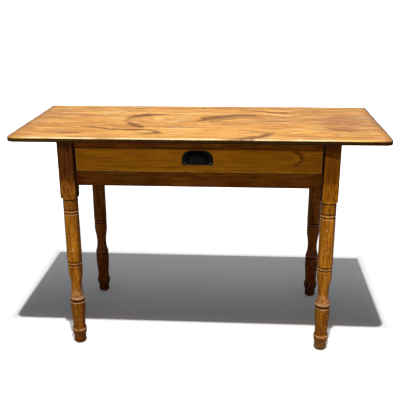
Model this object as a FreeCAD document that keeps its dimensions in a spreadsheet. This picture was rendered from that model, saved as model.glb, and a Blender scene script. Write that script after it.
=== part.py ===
import FreeCAD, Part
import math
import os
import re

import Sketcher

# A pine tavern table: a glued-up board top on four turned legs, mortised aprons, and one long
# dovetailed drawer with a cast cup pull. Millimetres, +Z up. The origin is on the floor under
# the middle of the top, X runs along the table and the drawer faces -Y.

# Driving dimensions. A rise of the turning is measured from the station below it, and a drop from
# what is above it.
SIZES = {
    # top
    "overall_height": 760,
    "top_length": 1210,
    "top_depth": 565,
    "top_thickness": 16,
    "back_board_width": 135,
    "middle_board_width": 215,
    "front_corner_radius": 18,
    "back_corner_radius": 5,
    "top_arris_radius": 4,
    "under_arris_radius": 1.5,
    "end_overhang": 152,
    "side_overhang": 43,
    # leg block, the shoulder under it and the sockets in it
    "leg_block": 52,
    "block_arris": 1.2,
    "block_drop": 202.5,
    "shoulder_rise": 17.5,
    "blank_allowance": 2.2,
    "saw_waste": 1,
    "joint_clearance": 0.15,
    "mortise_relief": 0.8,
    # foot
    "foot_base_radius": 15.5,
    "foot_radius": 20.6,
    "foot_base_height": 8,
    "foot_waist_rise": 20,
    "foot_waist_radius": 20.1,
    "foot_ring_rise": 21,
    "foot_ring_radius": 25.4,
    "foot_ring_half": 8.5,
    "foot_ring_fall": 0.7,
    "foot_step": 2.9,
    "foot_step_rise": 3,
    # ankle, bulb and collar
    "ankle_rise": 19,
    "ankle_radius": 21.4,
    "bulb_turn_rise": 40,
    "bulb_turn_radius": 23.4,
    "bulb_rise": 36,
    "bulb_radius": 25.5,
    "collar_groove_rise": 23,
    "collar_radius": 25,
    "lip_rise": 7.5,
    "lip_half": 3.5,
    "lip_radius": 25.4,
    # neck and vase
    "neck_rise": 41.5,
    "neck_radius": 18.2,
    "vase_turn_rise": 34,
    "vase_turn_radius": 20.8,
    "vase_rise": 34,
    "vase_radius": 24.8,
    # shaft with a ring under its foot, a bead near its head and a groove under the shoulder
    "ring_rise": 24,
    "ring_radius": 25,
    "ring_half": 2.6,
    "ring_crown": 0.35,
    "shaft_foot_rise": 16,
    "shaft_foot_radius": 25.5,
    "bead_drop": 45,
    "shaft_radius": 25.4,
    "groove_half": 2.9,
    "groove_depth": 1.9,
    # aprons and rails
    "rail_recess": 16,
    "rail_thickness": 22,
    "rail_arris": 1,
    "apron_height": 157,
    "bottom_rail_height": 48,
    "top_rail_height": 28,
    "top_rail_depth": 34,
    "tenon_thickness": 9,
    "tenon_shoulder": 12,
    "rail_tenon_shoulder": 6,
    "tongue_length": 20,
    "tongue_neck": 16,
    "tongue_flare": 3,
    "tongue_height": 14,
    # drawer bearers
    "bearer_width": 30,
    "runner_height": 20,
    "guide_rise": 25,
    "stop_width": 40,
    "stop_height": 30,
    "stop_inset": 60,
    "stop_depth": 24.6,
    "stop_gap": 0.4,
    "block_width": 70,
    "block_depth": 26,
    "block_height": 28,
    "back_screw_offset": 230,
    "front_screw_offset": 250,
    "kicker_screw_back": 40,
    # drawer box
    "drawer_side_gap": 3.5,
    "drawer_front_lift": 1.2,
    "drawer_front_gap": 2,
    "slide_gap": 0.3,
    "drawer_front_thickness": 20,
    "drawer_front_arris": 1.6,
    "drawer_side_thickness": 12,
    "drawer_side_drop": 4,
    "drawer_back_drop": 5,
    "drawer_lap": 5,
    "tail_splay": 1.8,
    "pin_neck": 5,
    "groove_rise": 9,
    "panel_edge": 4.5,
    "panel_thickness": 7,
    "panel_bevel": 24,
    "panel_bite": 5,
    "panel_slack": 1,
    "nail_inset": 97.5,
    "nail_radius": 1.2,
    "nail_head_radius": 2.6,
    "nail_head_height": 1,
    "nail_length": 26,
    # cup pull, measured from the foot of its ears
    "pull_height": 50,
    "pull_width": 100,
    "pull_raise": 8.9,
    "ear_radius": 8,
    "flange_thickness": 2.4,
    "pull_haunch": 20,
    "pull_crown": 24,
    "pull_crown_fall": 1.2,
    "cup_margin": 4.5,
    "head_room": 1.8,
    "cup_crown": 14,
    "cup_crown_fall": 0.8,
    "cup_projection": 21,
    "cup_round": 13,
    "cup_wall": 2.4,
    "lip_clear": 3,
    # screws
    "pull_screw_radius": 1.8,
    "pull_screw_head": 4.2,
    "pull_screw_dome": 2.2,
    "pull_screw_length": 17,
    "top_screw_radius": 2.2,
    "top_screw_head": 4.4,
    "top_screw_dome": 2.4,
    "top_screw_bite": 11,
    "screw_sink": 6,
    "screw_clearance": 0.1,
    "screw_point": 4,
}

# Values worked out from the driving dimensions, in the order in which they depend on each other.
WORKED = {
    "underside": "overall_height - top_thickness",
    "front_board_width": "top_depth - back_board_width - middle_board_width",
    "leg_half": "leg_block / 2",
    "leg_across": "top_length / 2 - end_overhang - leg_half",
    "leg_along": "top_depth / 2 - side_overhang - leg_half",
    "inner_across": "leg_across - leg_half",
    "inner_along": "leg_along - leg_half",
    "face_across": "leg_across + leg_half - rail_recess",
    "face_along": "leg_along + leg_half - rail_recess",
    "tenon_length": "leg_block - rail_recess - (rail_thickness + tenon_thickness) / 2 - mortise_relief",
    "mortise_centre": "leg_half - rail_recess - rail_thickness / 2",
    "apron_foot": "underside - apron_height",
    "opening_foot": "apron_foot + bottom_rail_height",
    "opening_head": "underside - top_rail_height",
    "block_foot": "underside - block_drop",
    "blank_radius": "leg_half * 2 ^ 0.5 + blank_allowance",
    "foot_waist_height": "foot_base_height + foot_waist_rise",
    "foot_ring_height": "foot_waist_height + foot_ring_rise",
    "ankle_height": "foot_ring_height + ankle_rise",
    "bulb_turn_height": "ankle_height + bulb_turn_rise",
    "bulb_height": "bulb_turn_height + bulb_rise",
    "collar_groove_height": "bulb_height + collar_groove_rise",
    "lip_height": "collar_groove_height + lip_rise",
    "neck_height": "lip_height + neck_rise",
    "vase_turn_height": "neck_height + vase_turn_rise",
    "vase_height": "vase_turn_height + vase_rise",
    "ring_height": "vase_height + ring_rise",
    "shaft_foot_height": "ring_height + shaft_foot_rise",
    "bead_height": "block_foot - bead_drop",
    "bearer_across": "inner_across - bearer_width",
    "bearer_front": "rail_thickness - face_along",
    "kicker_front": "top_rail_depth - face_along",
    "bearer_back": "face_along - rail_thickness",
    "guide_width": "face_across - rail_thickness - inner_across",
    "drawer_length": "bearer_back + face_along - stop_depth - stop_gap",
    "drawer_half": "inner_across - drawer_side_gap",
    "front_height": "opening_head - opening_foot - drawer_front_lift - drawer_front_gap",
    "side_height": "opening_head - opening_foot - slide_gap - drawer_side_drop",
    "tail_length": "drawer_front_thickness - drawer_lap",
    "panel_top": "groove_rise + panel_thickness",
    "panel_mouth": "panel_edge + (panel_thickness - panel_edge) * panel_bite / panel_bevel",
    "back_height": "side_height - panel_top - drawer_back_drop",
    "pull_foot": "drawer_front_lift + (front_height - pull_height) / 2 + pull_raise",
    "ear_across": "pull_width / 2 - ear_radius",
    "cup_half_width": "ear_across - pull_screw_head - head_room",
    "outer_nail_offset": "drawer_half - nail_inset",
    "inner_nail_offset": "outer_nail_offset / 3",
    "kicker_screw_across": "inner_across - bearer_width / 2",
    "screw_hole": "top_screw_radius + screw_clearance",
    "front_screw_along": "top_rail_depth / 2 - face_along",
    "back_screw_along": "bearer_back - block_depth / 2",
}

LINE = "line"
ARC_UPRIGHT_HERE = "arc upright at this station"
ARC_UPRIGHT_NEXT = "arc upright at the next station"
ARC_ABOUT_AXIS = "arc centred on the upright axis"

LEFT, RIGHT = -1, 1
FRONT, BACK = -1, 1
FRONT_TAILS = 3
BACK_TAILS = 2
NAIL_OFFSETS = ("inner_nail_offset", "outer_nail_offset")
TOLERANCE = 0.01


def bound(formula):
    """Writes a formula in plain names as a FreeCAD expression on the two sheets."""
    def cell(name):
        sheet = "Sizes" if name.group() in SIZES else "Worked"
        return sheet + "." + name.group()
    return re.sub(r"[a-z]\w*", cell, formula)


def fill_sheet(name, contents):
    """Makes a sheet with one named cell on each row."""
    sheet = document.addObject("Spreadsheet::Sheet", name)
    for row, (alias, content) in enumerate(contents.items(), 1):
        sheet.set(f"A{row}", alias)
        sheet.set(f"B{row}", content)
        sheet.setAlias(f"B{row}", alias)
    return sheet


def work_out(formulas):
    """Has the Outlines sheet work formulas out, one under another, and reads the numbers."""
    for formula in formulas:
        if formula not in outline_rows:
            outline_rows[formula] = len(outline_rows) + 1
            outlines.set(f"A{outline_rows[formula]}", "'" + formula)
            outlines.set(f"B{outline_rows[formula]}", "=" + bound(formula))
    outlines.recompute()
    return [float(outlines.get(f"B{outline_rows[formula]}")) for formula in formulas]


def bind(item, **formulas):
    """Binds properties to formulas. A double underscore stands for a dot."""
    for path, formula in formulas.items():
        item.setExpression(path.replace("__", "."), bound(formula))


def new_body(label, across="0", along="0", up="0", turn=0):
    """A body with its place in the table, turned about the upright by some degrees."""
    body = document.addObject("PartDesign::Body", label)
    body.Label = label
    body.AllowCompound = True
    body.Placement.Rotation = FreeCAD.Rotation(FreeCAD.Vector(0, 0, 1), turn)
    bind(body, Placement__Base__x=across, Placement__Base__y=along, Placement__Base__z=up)
    return body


def new_part(*name_and_place):
    """Starts a sub-part, which gets a file of its own."""
    parts.append(new_body(*name_and_place))
    return parts[-1]


def plane(body, role):
    return next(item for item in body.Origin.OriginFeatures if item.Role == role)


def new_sketch(body, role, across="0", up="0", out="0"):
    """A sketch on one of its own body's planes, moved within and off the plane."""
    sketch = body.newObject("Sketcher::SketchObject", "Sketch")
    sketch.AttachmentSupport = (plane(body, role), [""])
    sketch.MapMode = "FlatFace"
    bind(
        sketch,
        AttachmentOffset__Base__x=across,
        AttachmentOffset__Base__y=up,
        AttachmentOffset__Base__z=out,
    )
    return sketch


def arc_between(start, end, run):
    """The short arc between two corners, drawn anticlockwise, and whether it begins at start.

    It is upright at one of the corners, or centred on the upright axis.
    """
    if run == ARC_ABOUT_AXIS:
        rise = end.x ** 2 + end.y ** 2 - start.x ** 2 - start.y ** 2
        centre = FreeCAD.Vector(0, rise / (2 * (end.y - start.y)), 0)
    else:
        upright, other = (start, end) if run == ARC_UPRIGHT_HERE else (end, start)
        fall = upright.x ** 2 - other.x ** 2 - (other.y - upright.y) ** 2
        centre = FreeCAD.Vector(fall / (2 * (upright.x - other.x)), upright.y, 0)
    circle = Part.Circle(centre, FreeCAD.Vector(0, 0, 1), (start - centre).Length)
    first, last = circle.parameter(start), circle.parameter(end)
    forward = (last - first) % (2 * math.pi) < math.pi
    if not forward:
        first, last = last, first
    return Part.ArcOfCircle(circle, first, last), forward


def draw(sketch, stations):
    """Draws a closed outline, with every corner fixed by the formulas of its station.

    A station is (across, up, run), and the run leads from it to the next station.
    """
    values = work_out([formula for across, up, _ in stations for formula in (across, up)])
    corners = [FreeCAD.Vector(x, y, 0) for x, y in zip(values[0::2], values[1::2])]
    first = sketch.GeometryCount
    ends = []
    for index, (start, (_, _, run)) in enumerate(zip(corners, stations)):
        end = corners[(index + 1) % len(corners)]
        curve, forward = Part.LineSegment(start, end), True
        if run != LINE:
            curve, forward = arc_between(start, end, run)
        sketch.addGeometry(curve, False)
        ends.append((1, 2) if forward else (2, 1))
    for index, (across, up, run) in enumerate(stations):
        curve = first + index
        following = (index + 1) % len(corners)
        here, there = ends[index]
        if run in (ARC_UPRIGHT_HERE, ARC_UPRIGHT_NEXT):
            upright = here if run == ARC_UPRIGHT_HERE else there
            sketch.addConstraint(Sketcher.Constraint("Horizontal", curve, 3, curve, upright))
        if run == ARC_ABOUT_AXIS:
            sketch.addConstraint(Sketcher.Constraint("PointOnObject", curve, 3, -2))
        sketch.addConstraint(
            Sketcher.Constraint("Coincident", curve, there, first + following, ends[following][0])
        )
        fix(sketch, "DistanceX", curve, here, across, corners[index].x, -2)
        fix(sketch, "DistanceY", curve, here, up, corners[index].y, -1)


def fix(sketch, kind, curve, end, formula, value, axis):
    """Holds one end of a curve at a distance from the origin, or on an axis where that is 0."""
    if formula == "0":
        sketch.addConstraint(Sketcher.Constraint("PointOnObject", curve, end, axis))
        return
    row = sketch.addConstraint(Sketcher.Constraint(kind, -1, 1, curve, end, value))
    sketch.setExpression(f"Constraints[{row}]", bound(formula))


def box(body, across, along, up, cut=False):
    """Adds or cuts a box. Each direction is a pair of formulas, its low end and its length."""
    kind = "PartDesign::SubtractiveBox" if cut else "PartDesign::AdditiveBox"
    feature = body.newObject(kind, "Cut" if cut else "Block")
    bind(
        feature,
        Length=across[1],
        Width=along[1],
        Height=up[1],
        Placement__Base__x=across[0],
        Placement__Base__y=along[0],
        Placement__Base__z=up[0],
    )
    return feature


def round_hole(body, across, along, up, radius, depth, facing_back=False):
    """Cuts a round hole that rises from its mouth, or runs back along Y."""
    hole = body.newObject("PartDesign::SubtractiveCylinder", "Hole")
    if facing_back:
        hole.Placement.Rotation = FreeCAD.Rotation(FreeCAD.Vector(1, 0, 0), -90)
    bind(
        hole,
        Radius=radius,
        Height=depth,
        Placement__Base__x=across,
        Placement__Base__y=along,
        Placement__Base__z=up,
    )
    return hole


def sunk_hole(body, across, along, depth):
    """A screw hole that rises from the foot of a piece, counterbored to sink the head."""
    return [
        round_hole(body, across, along, "0", "screw_hole", depth),
        round_hole(body, across, along, "0", "top_screw_head + screw_clearance", "screw_sink"),
    ]


def extrude(body, kind, sketch, length, backwards=False):
    """Pads or pockets a sketch, and checks that the solid changed the right way."""
    document.recompute()
    before = body.Shape.Volume if body.Tip else 0
    feature = body.newObject("PartDesign::" + kind, kind)
    feature.Profile = sketch
    feature.Reversed = backwards
    bind(feature, Length=length)
    document.recompute()
    grew = body.Shape.Volume > before
    if grew != (kind == "Pad"):
        raise RuntimeError(f"{body.Label}: {kind} {feature.Name} ran away from the solid")
    return feature


def turn_on_lathe(body, sketch):
    feature = body.newObject("PartDesign::Revolution", "Turning")
    feature.Profile = sketch
    feature.ReferenceAxis = (sketch, ["V_Axis"])
    feature.Angle = 360
    return feature


def mirror(body, features):
    """Repeats features on the other side of the middle of the table."""
    feature = body.newObject("PartDesign::Mirrored", "Mirrored")
    feature.Originals = features
    feature.MirrorPlane = (plane(body, "YZ_Plane"), [""])
    body.Tip = feature
    return feature


def edges_where(body, wanted):
    """Names of the edges of a body's tip whose bounding box, in its own frame, is wanted."""
    document.recompute()
    edges = enumerate(body.Tip.Shape.Edges, 1)
    return [f"Edge{number}" for number, edge in edges if wanted(edge.BoundBox)]


def ease(body, kind, wanted, **formulas):
    """Fillets or chamfers the edges whose bounding box is wanted."""
    names = edges_where(body, wanted)
    if not names:
        raise RuntimeError(f"{body.Label}: no edge to ease")
    solid = body.Tip
    feature = body.newObject("PartDesign::" + kind, kind)
    feature.Base = (solid, names)
    bind(feature, **formulas)
    return feature


def near(value, target):
    return abs(value - target) < TOLERANCE


# ---------------------------------------------------------------- top


def top_board(label, foot, width, corner_radius, outer_side, screw_across, screw_along):
    """One board of the top, with its outer corners and arrises rounded and two screw holes."""
    board = new_part(label, "0", foot, "underside")
    box(board, ("-top_length / 2", "top_length"), ("0", width), ("0", "top_thickness"))
    length, depth, thickness = work_out(["top_length", width, "top_thickness"])
    outer = {FRONT: 0, BACK: depth}.get(outer_side)
    if outer is not None:
        def upright(edge):
            return near(edge.ZLength, thickness) and near(edge.YMax, outer)
        ease(board, "Fillet", upright, Radius=corner_radius)

    def outside(edge):
        at_end = near(max(abs(edge.XMin), abs(edge.XMax)), length / 2) and edge.XLength < length / 2
        at_side = outer is not None and (near(edge.YMin, outer) or near(edge.YMax, outer))
        across_joint = edge.YLength < TOLERANCE and edge.XLength < TOLERANCE
        return (at_end or at_side) and near(edge.ZLength, 0) and not across_joint

    def upper(edge):
        return outside(edge) and near(edge.ZMin, thickness)

    def lower(edge):
        return outside(edge) and near(edge.ZMax, 0)

    ease(board, "Fillet", upper, Radius="top_arris_radius")
    ease(board, "Fillet", lower, Radius="under_arris_radius")
    hole_along = f"{screw_along} - ({foot})"
    depth_formula = "top_screw_bite + screw_clearance"
    hole = round_hole(board, screw_across, hole_along, "0", "screw_hole", depth_formula)
    mirror(board, [hole])


def make_top():
    front_foot = "-top_depth / 2"
    middle_foot = "front_board_width - top_depth / 2"
    back_foot = "top_depth / 2 - back_board_width"
    top_board("top_front_board", front_foot, "front_board_width", "front_corner_radius", FRONT,
              "front_screw_offset", "front_screw_along")
    top_board("top_middle_board", middle_foot, "middle_board_width", None, None,
              "kicker_screw_across", "kicker_screw_back")
    top_board("top_back_board", back_foot, "back_board_width", "back_corner_radius", BACK,
              "back_screw_offset", "back_screw_along")


# ---------------------------------------------------------------- legs


def groove(height, radius):
    """The three stations of a V groove cut with the skew, from its foot up."""
    return [
        (radius, f"{height} - groove_half", LINE),
        (f"{radius} - groove_depth", height, LINE),
        (radius, f"{height} + groove_half", LINE),
    ]


def bead(height, radius):
    """A crowned bead between two V grooves, from the foot of the lower groove up."""
    lower = groove(f"({height} - ring_half - groove_half)", radius)
    upper = groove(f"({height} + ring_half + groove_half)", radius)
    return [
        *lower[:2],
        (radius, f"{height} - ring_half", ARC_UPRIGHT_NEXT),
        (f"{radius} + ring_crown", height, ARC_UPRIGHT_HERE),
        *upper,
    ]


def leg_outline():
    """The turner's profile, from the middle of the foot up to the middle of the block's top."""
    collar = groove("collar_groove_height", "collar_radius")
    lip_foot = ("collar_radius", "collar_groove_height + groove_half", ARC_UPRIGHT_NEXT)
    ring = bead("ring_height", "ring_radius")
    shoulder_groove = groove("(block_foot - groove_half)", "shaft_radius")
    return [
        ("0", "0", LINE),
        ("foot_base_radius", "0", ARC_UPRIGHT_NEXT),
        ("foot_radius", "foot_base_height", ARC_UPRIGHT_HERE),
        ("foot_waist_radius", "foot_waist_height", ARC_UPRIGHT_NEXT),
        ("foot_ring_radius", "foot_ring_height", ARC_UPRIGHT_HERE),
        ("foot_ring_radius - foot_ring_fall", "foot_ring_height + foot_ring_half", LINE),
        ("foot_ring_radius - foot_ring_fall - foot_step",
         "foot_ring_height + foot_ring_half + foot_step_rise", ARC_UPRIGHT_NEXT),
        ("ankle_radius", "ankle_height", ARC_UPRIGHT_HERE),
        ("bulb_turn_radius", "bulb_turn_height", ARC_UPRIGHT_NEXT),
        ("bulb_radius", "bulb_height", ARC_UPRIGHT_HERE),
        *collar[:2],
        lip_foot,
        ("lip_radius", "lip_height", ARC_UPRIGHT_HERE),
        ("collar_radius", "lip_height + lip_half", ARC_UPRIGHT_NEXT),
        ("neck_radius", "neck_height", ARC_UPRIGHT_HERE),
        ("vase_turn_radius", "vase_turn_height", ARC_UPRIGHT_NEXT),
        ("vase_radius", "vase_height", ARC_UPRIGHT_HERE),
        ("ring_radius - ring_crown", ring[0][1], LINE),
        *ring[1:-1],
        (*ring[-1][:2], ARC_UPRIGHT_NEXT),
        ("shaft_foot_radius", "shaft_foot_height", LINE),
        *bead("bead_height", "shaft_radius"),
        *shoulder_groove[:2],
        ("shaft_radius + ring_crown", "block_foot", ARC_UPRIGHT_NEXT),
        ("blank_radius", "block_foot + shoulder_rise", LINE),
        ("blank_radius", "underside", LINE),
        ("0", "underside", LINE),
    ]


def square(half):
    """The four stations of a square about the origin."""
    return [
        (f"-{half}", f"-{half}", LINE),
        (half, f"-{half}", LINE),
        (half, half, LINE),
        (f"-{half}", half, LINE),
    ]


def span(side, face, depth):
    """Low end and length of a cut that goes in from a face on the inner side of a leg."""
    low = f"-{face}" if side == RIGHT else f"{face} - ({depth})"
    return (low, depth)


def around(side, centre, width):
    """Low end and length of something centred on one side of a leg, with clearance."""
    return (f"{side} * ({centre}) - ({width}) / 2 - joint_clearance",
            f"{width} + 2 * joint_clearance")


def mortise(leg, side, end, along_x, foot, height):
    """A mortise for a tenon that comes in along X, or along Y, from the inner face."""
    depth = "tenon_length + mortise_relief / 2"
    inward = span(side if along_x else end, "leg_half", depth)
    thickness = around(end if along_x else side, "mortise_centre", "tenon_thickness")
    upright = (f"{foot} - joint_clearance", f"{height} + 2 * joint_clearance")
    directions = (inward, thickness) if along_x else (thickness, inward)
    box(leg, *directions, upright, cut=True)


def tongue_outline(side, end, slack):
    """The dovetail tongue of the front top rail in plan, for the leg on that side."""
    root = f"{side} * (-leg_half - {slack})"
    tip = f"{side} * (tongue_length - leg_half + {slack})"
    centre = f"{end} * (leg_half - rail_recess - top_rail_depth / 2)"
    neck = f"(tongue_neck / 2 + {slack})"
    flare = f"(tongue_neck / 2 + tongue_flare + {slack})"
    return [
        (root, f"{centre} - {neck}", LINE),
        (tip, f"{centre} - {flare}", LINE),
        (tip, f"{centre} + {flare}", LINE),
        (root, f"{centre} + {neck}", LINE),
    ]


def make_leg(label, side, end):
    """A turned leg: revolved blank, its block cut square, arrises eased, joints cut."""
    leg = new_part(label, f"{side} * leg_across", f"{end} * leg_along")
    profile = new_sketch(leg, "XZ_Plane")
    draw(profile, leg_outline())
    turn_on_lathe(leg, profile)
    flats = new_sketch(leg, "XY_Plane", out="underside")
    draw(flats, square("(blank_radius + saw_waste)"))
    draw(flats, square("leg_half"))
    extrude(leg, "Pocket", flats, "block_drop")
    half, low = work_out(["leg_half", "underside - block_drop + shoulder_rise"])

    def arris(edge):
        at_corner = near(abs(edge.XMin), half) and near(abs(edge.YMin), half)
        return at_corner and edge.XLength < TOLERANCE and edge.ZMax > low
    ease(leg, "Fillet", arris, Radius="block_arris")
    apron_tenon = ("apron_foot + tenon_shoulder", "apron_height - 2 * tenon_shoulder")
    mortise(leg, side, end, False, *apron_tenon)
    if end == BACK:
        mortise(leg, side, end, True, *apron_tenon)
        return
    rail_tenon = ("apron_foot + rail_tenon_shoulder",
                  "bottom_rail_height - 2 * rail_tenon_shoulder")
    mortise(leg, side, end, True, *rail_tenon)
    socket = new_sketch(leg, "XY_Plane", out="underside")
    draw(socket, tongue_outline(side, end, "joint_clearance"))
    extrude(leg, "Pocket", socket, "tongue_height + joint_clearance")


def make_legs():
    make_leg("leg_front_left", LEFT, FRONT)
    make_leg("leg_front_right", RIGHT, FRONT)
    make_leg("leg_back_left", LEFT, BACK)
    make_leg("leg_back_right", RIGHT, BACK)


# ---------------------------------------------------------------- aprons and rails


def tenoned_board(label, shoulder, height, tenon_shoulder, place, turn):
    """A board on edge with a tenon at each end, outer face on its own -Y side."""
    board = new_part(label, *place, "apron_foot", turn)
    box(board, (f"-{shoulder}", f"2 * {shoulder}"), ("0", "rail_thickness"), ("0", height))
    box(
        board,
        (f"-{shoulder} - tenon_length", f"2 * ({shoulder} + tenon_length)"),
        ("(rail_thickness - tenon_thickness) / 2", "tenon_thickness"),
        (tenon_shoulder, f"{height} - 2 * {tenon_shoulder}"),
    )
    reach = work_out([shoulder])[0]

    def outer_foot(edge):
        along_board = edge.XLength > reach
        return along_board and near(edge.YMax, 0) and near(edge.ZMax, 0)
    ease(board, "Fillet", outer_foot, Radius="rail_arris")
    return board


def make_aprons():
    upright = ("apron_height", "tenon_shoulder")
    tenoned_board("back_apron", "inner_across", *upright, ("0", "face_along"), 180)
    tenoned_board("left_apron", "inner_along", *upright, ("-face_across", "0"), -90)
    tenoned_board("right_apron", "inner_along", *upright, ("face_across", "0"), 90)
    tenoned_board("front_bottom_rail", "inner_across", "bottom_rail_height",
                  "rail_tenon_shoulder", ("0", "-face_along"), 0)


def make_front_top_rail():
    """The rail over the drawer, laid flat and let into the tops of the front legs."""
    rail = new_part("front_top_rail", "0", "-face_along", "opening_head")
    box(rail, ("-inner_across", "2 * inner_across"), ("0", "top_rail_depth"),
        ("0", "top_rail_height"))
    inner, depth = work_out(["inner_across", "top_rail_depth"])

    def face_foot(edge):
        return edge.XLength > inner and near(edge.YMax, 0) and near(edge.ZMax, 0)
    ease(rail, "Fillet", face_foot, Radius="rail_arris")
    tongue = new_sketch(rail, "XY_Plane", out="top_rail_height")
    tip = "(inner_across + tongue_length)"
    middle = "top_rail_depth / 2"
    draw(tongue, [
        ("inner_across", f"{middle} - tongue_neck / 2", LINE),
        (tip, f"{middle} - tongue_neck / 2 - tongue_flare", LINE),
        (tip, f"{middle} + tongue_neck / 2 + tongue_flare", LINE),
        ("inner_across", f"{middle} + tongue_neck / 2", LINE),
    ])
    mirror(rail, [extrude(rail, "Pad", tongue, "tongue_height", backwards=True)])
    mirror(rail, sunk_hole(rail, "front_screw_offset", "top_rail_depth / 2", "top_rail_height"))


# ---------------------------------------------------------------- drawer bearers


def make_bearers():
    """Runners under the drawer sides, guides beside them, kickers over them, stops behind."""
    depth = "bearer_back - bearer_front"
    for name, side in (("left", LEFT), ("right", RIGHT)):
        low = "bearer_across" if side == RIGHT else "-inner_across"
        runner = new_part(f"drawer_runner_{name}", low, "bearer_front", "opening_foot - runner_height")
        box(runner, ("0", "bearer_width"), ("0", depth), ("0", "runner_height"))
        low = "inner_across" if side == RIGHT else "-inner_across - guide_width"
        guide = new_part(f"drawer_guide_{name}", low, "-inner_along", "opening_foot - runner_height")
        box(guide, ("0", "guide_width"), ("0", "2 * inner_along"),
            ("0", "runner_height + guide_rise"))
        low = "bearer_across" if side == RIGHT else "-inner_across"
        kicker = new_part(f"drawer_kicker_{name}", low, "kicker_front", "opening_head")
        box(kicker, ("0", "bearer_width"), ("0", "bearer_back - kicker_front"),
            ("0", "top_rail_height"))
        sunk_hole(kicker, "bearer_width / 2", "kicker_screw_back - kicker_front",
                  "top_rail_height")
    stops = new_part("drawer_stops", "0", "0", "opening_foot")
    stop = box(
        stops,
        ("inner_across - stop_inset - stop_width", "stop_width"),
        ("bearer_back - stop_depth", "stop_depth"),
        ("0", "stop_height"),
    )
    mirror(stops, [stop])
    blocks = new_part("top_glue_blocks", "0", "bearer_back - block_depth",
                      "underside - block_height")
    block = box(blocks, ("back_screw_offset - block_width / 2", "block_width"),
                ("0", "block_depth"), ("0", "block_height"))
    mirror(blocks, [block])
    mirror(blocks, sunk_hole(blocks, "back_screw_offset", "block_depth / 2", "block_height"))


# ---------------------------------------------------------------- screws and nails


def screw_outline(head, dome, radius, length):
    """Half the profile of a round-headed screw, head at the foot, its seat on the origin's level."""
    return [
        ("0", f"-{dome}", ARC_ABOUT_AXIS),
        (head, "0", LINE),
        (radius, "0", LINE),
        (radius, f"{length} - screw_point", LINE),
        ("0", length, LINE),
    ]


def make_top_screws():
    """Six screws that come up through the rail, kickers and blocks into the top."""
    screws = new_part("top_screws")
    places = [
        ("front_screw_offset", "front_screw_along", "opening_head", "top_rail_height"),
        ("kicker_screw_across", "kicker_screw_back", "opening_head", "top_rail_height"),
        ("back_screw_offset", "back_screw_along", "underside - block_height", "block_height"),
    ]
    turned = []
    for across, along, foot, height in places:
        sketch = new_sketch(screws, "XZ_Plane", across, f"{foot} + screw_sink", f"-({along})")
        draw(sketch, screw_outline("top_screw_head", "top_screw_dome", "top_screw_radius",
                                   f"({height} - screw_sink + top_screw_bite)"))
        turned.append(turn_on_lathe(screws, sketch))
    mirror(screws, turned)


def make_pull_screws():
    """Two round-headed screws through the ears of the pull, lying along Y."""
    screws = new_part("pull_screws", "0", "-face_along", "opening_foot")
    sketch = new_sketch(screws, "XY_Plane", "ear_across", "-flange_thickness",
                        "pull_foot + ear_radius")
    draw(sketch, screw_outline("pull_screw_head", "pull_screw_dome", "pull_screw_radius",
                               "pull_screw_length"))
    mirror(screws, [turn_on_lathe(screws, sketch)])


def make_panel_nails():
    """Cut nails that hold the drawer's bottom up to its back."""
    nails = new_part("bottom_nails", "0", "drawer_length - face_along - drawer_side_thickness / 2",
                     "opening_foot + slide_gap + groove_rise")
    turned = []
    for offset in NAIL_OFFSETS:
        sketch = new_sketch(nails, "XZ_Plane", offset)
        draw(sketch, [
            ("0", "-nail_head_height", LINE),
            ("nail_head_radius", "-nail_head_height", LINE),
            ("nail_head_radius", "0", LINE),
            ("nail_radius", "0", LINE),
            ("nail_radius", "nail_length - screw_point", LINE),
            ("0", "nail_length", LINE),
        ])
        turned.append(turn_on_lathe(nails, sketch))
    mirror(nails, turned)


# ---------------------------------------------------------------- drawer


def tails(shoulder, tip, foot, height, count, slack):
    """Outlines of the dovetails along one end of a drawer side, from its foot up."""
    shapes = []
    pitch = f"({height}) / {count}"
    for number in range(count):
        centre = f"({foot} + {pitch} * {number + 0.5})"
        wide = f"({pitch} / 2 - pin_neck / 2 + {slack})"
        narrow = f"({pitch} / 2 - pin_neck / 2 - tail_splay + {slack})"
        shapes.append([
            (shoulder, f"{centre} - {narrow}", LINE),
            (tip, f"{centre} - {wide}", LINE),
            (tip, f"{centre} + {wide}", LINE),
            (shoulder, f"{centre} + {narrow}", LINE),
        ])
    return shapes


FRONT_END = ("drawer_front_thickness", "drawer_front_thickness - tail_length",
             "0", "side_height", FRONT_TAILS)
BACK_END = ("drawer_length - drawer_side_thickness", "drawer_length",
            "panel_top", "back_height", BACK_TAILS)


def make_drawer_side(name, side):
    """A drawer side with tails at both ends, and a groove for the bottom on its inner face."""
    low = "drawer_half - drawer_side_thickness" if side == RIGHT else "-drawer_half"
    board = new_part(f"drawer_side_{name}", low, "-face_along", "opening_foot + slide_gap")
    outline = new_sketch(board, "YZ_Plane")
    front_end = [station for tail in tails(*FRONT_END, "0") for station in tail]
    back_end = [station for tail in tails(*BACK_END, "0") for station in tail]
    shoulder = "drawer_length - drawer_side_thickness"
    back_top = "panel_top + back_height"
    draw(outline, [
        ("drawer_front_thickness", "0", LINE),
        ("drawer_length", "0", LINE),
        ("drawer_length", "panel_top", LINE),
        (shoulder, "panel_top", LINE),
        *back_end,
        (shoulder, back_top, LINE),
        (shoulder, "side_height", LINE),
        ("drawer_front_thickness", "side_height", LINE),
        *reversed(front_end),
    ])
    extrude(board, "Pad", outline, "drawer_side_thickness")
    inner = "0" if side == RIGHT else "drawer_side_thickness - panel_bite"
    box(board, (inner, "panel_bite"),
        ("drawer_front_thickness - tail_length", "drawer_length - drawer_lap"),
        ("panel_top - panel_mouth - joint_clearance", "panel_mouth + 2 * joint_clearance"),
        cut=True)


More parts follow.
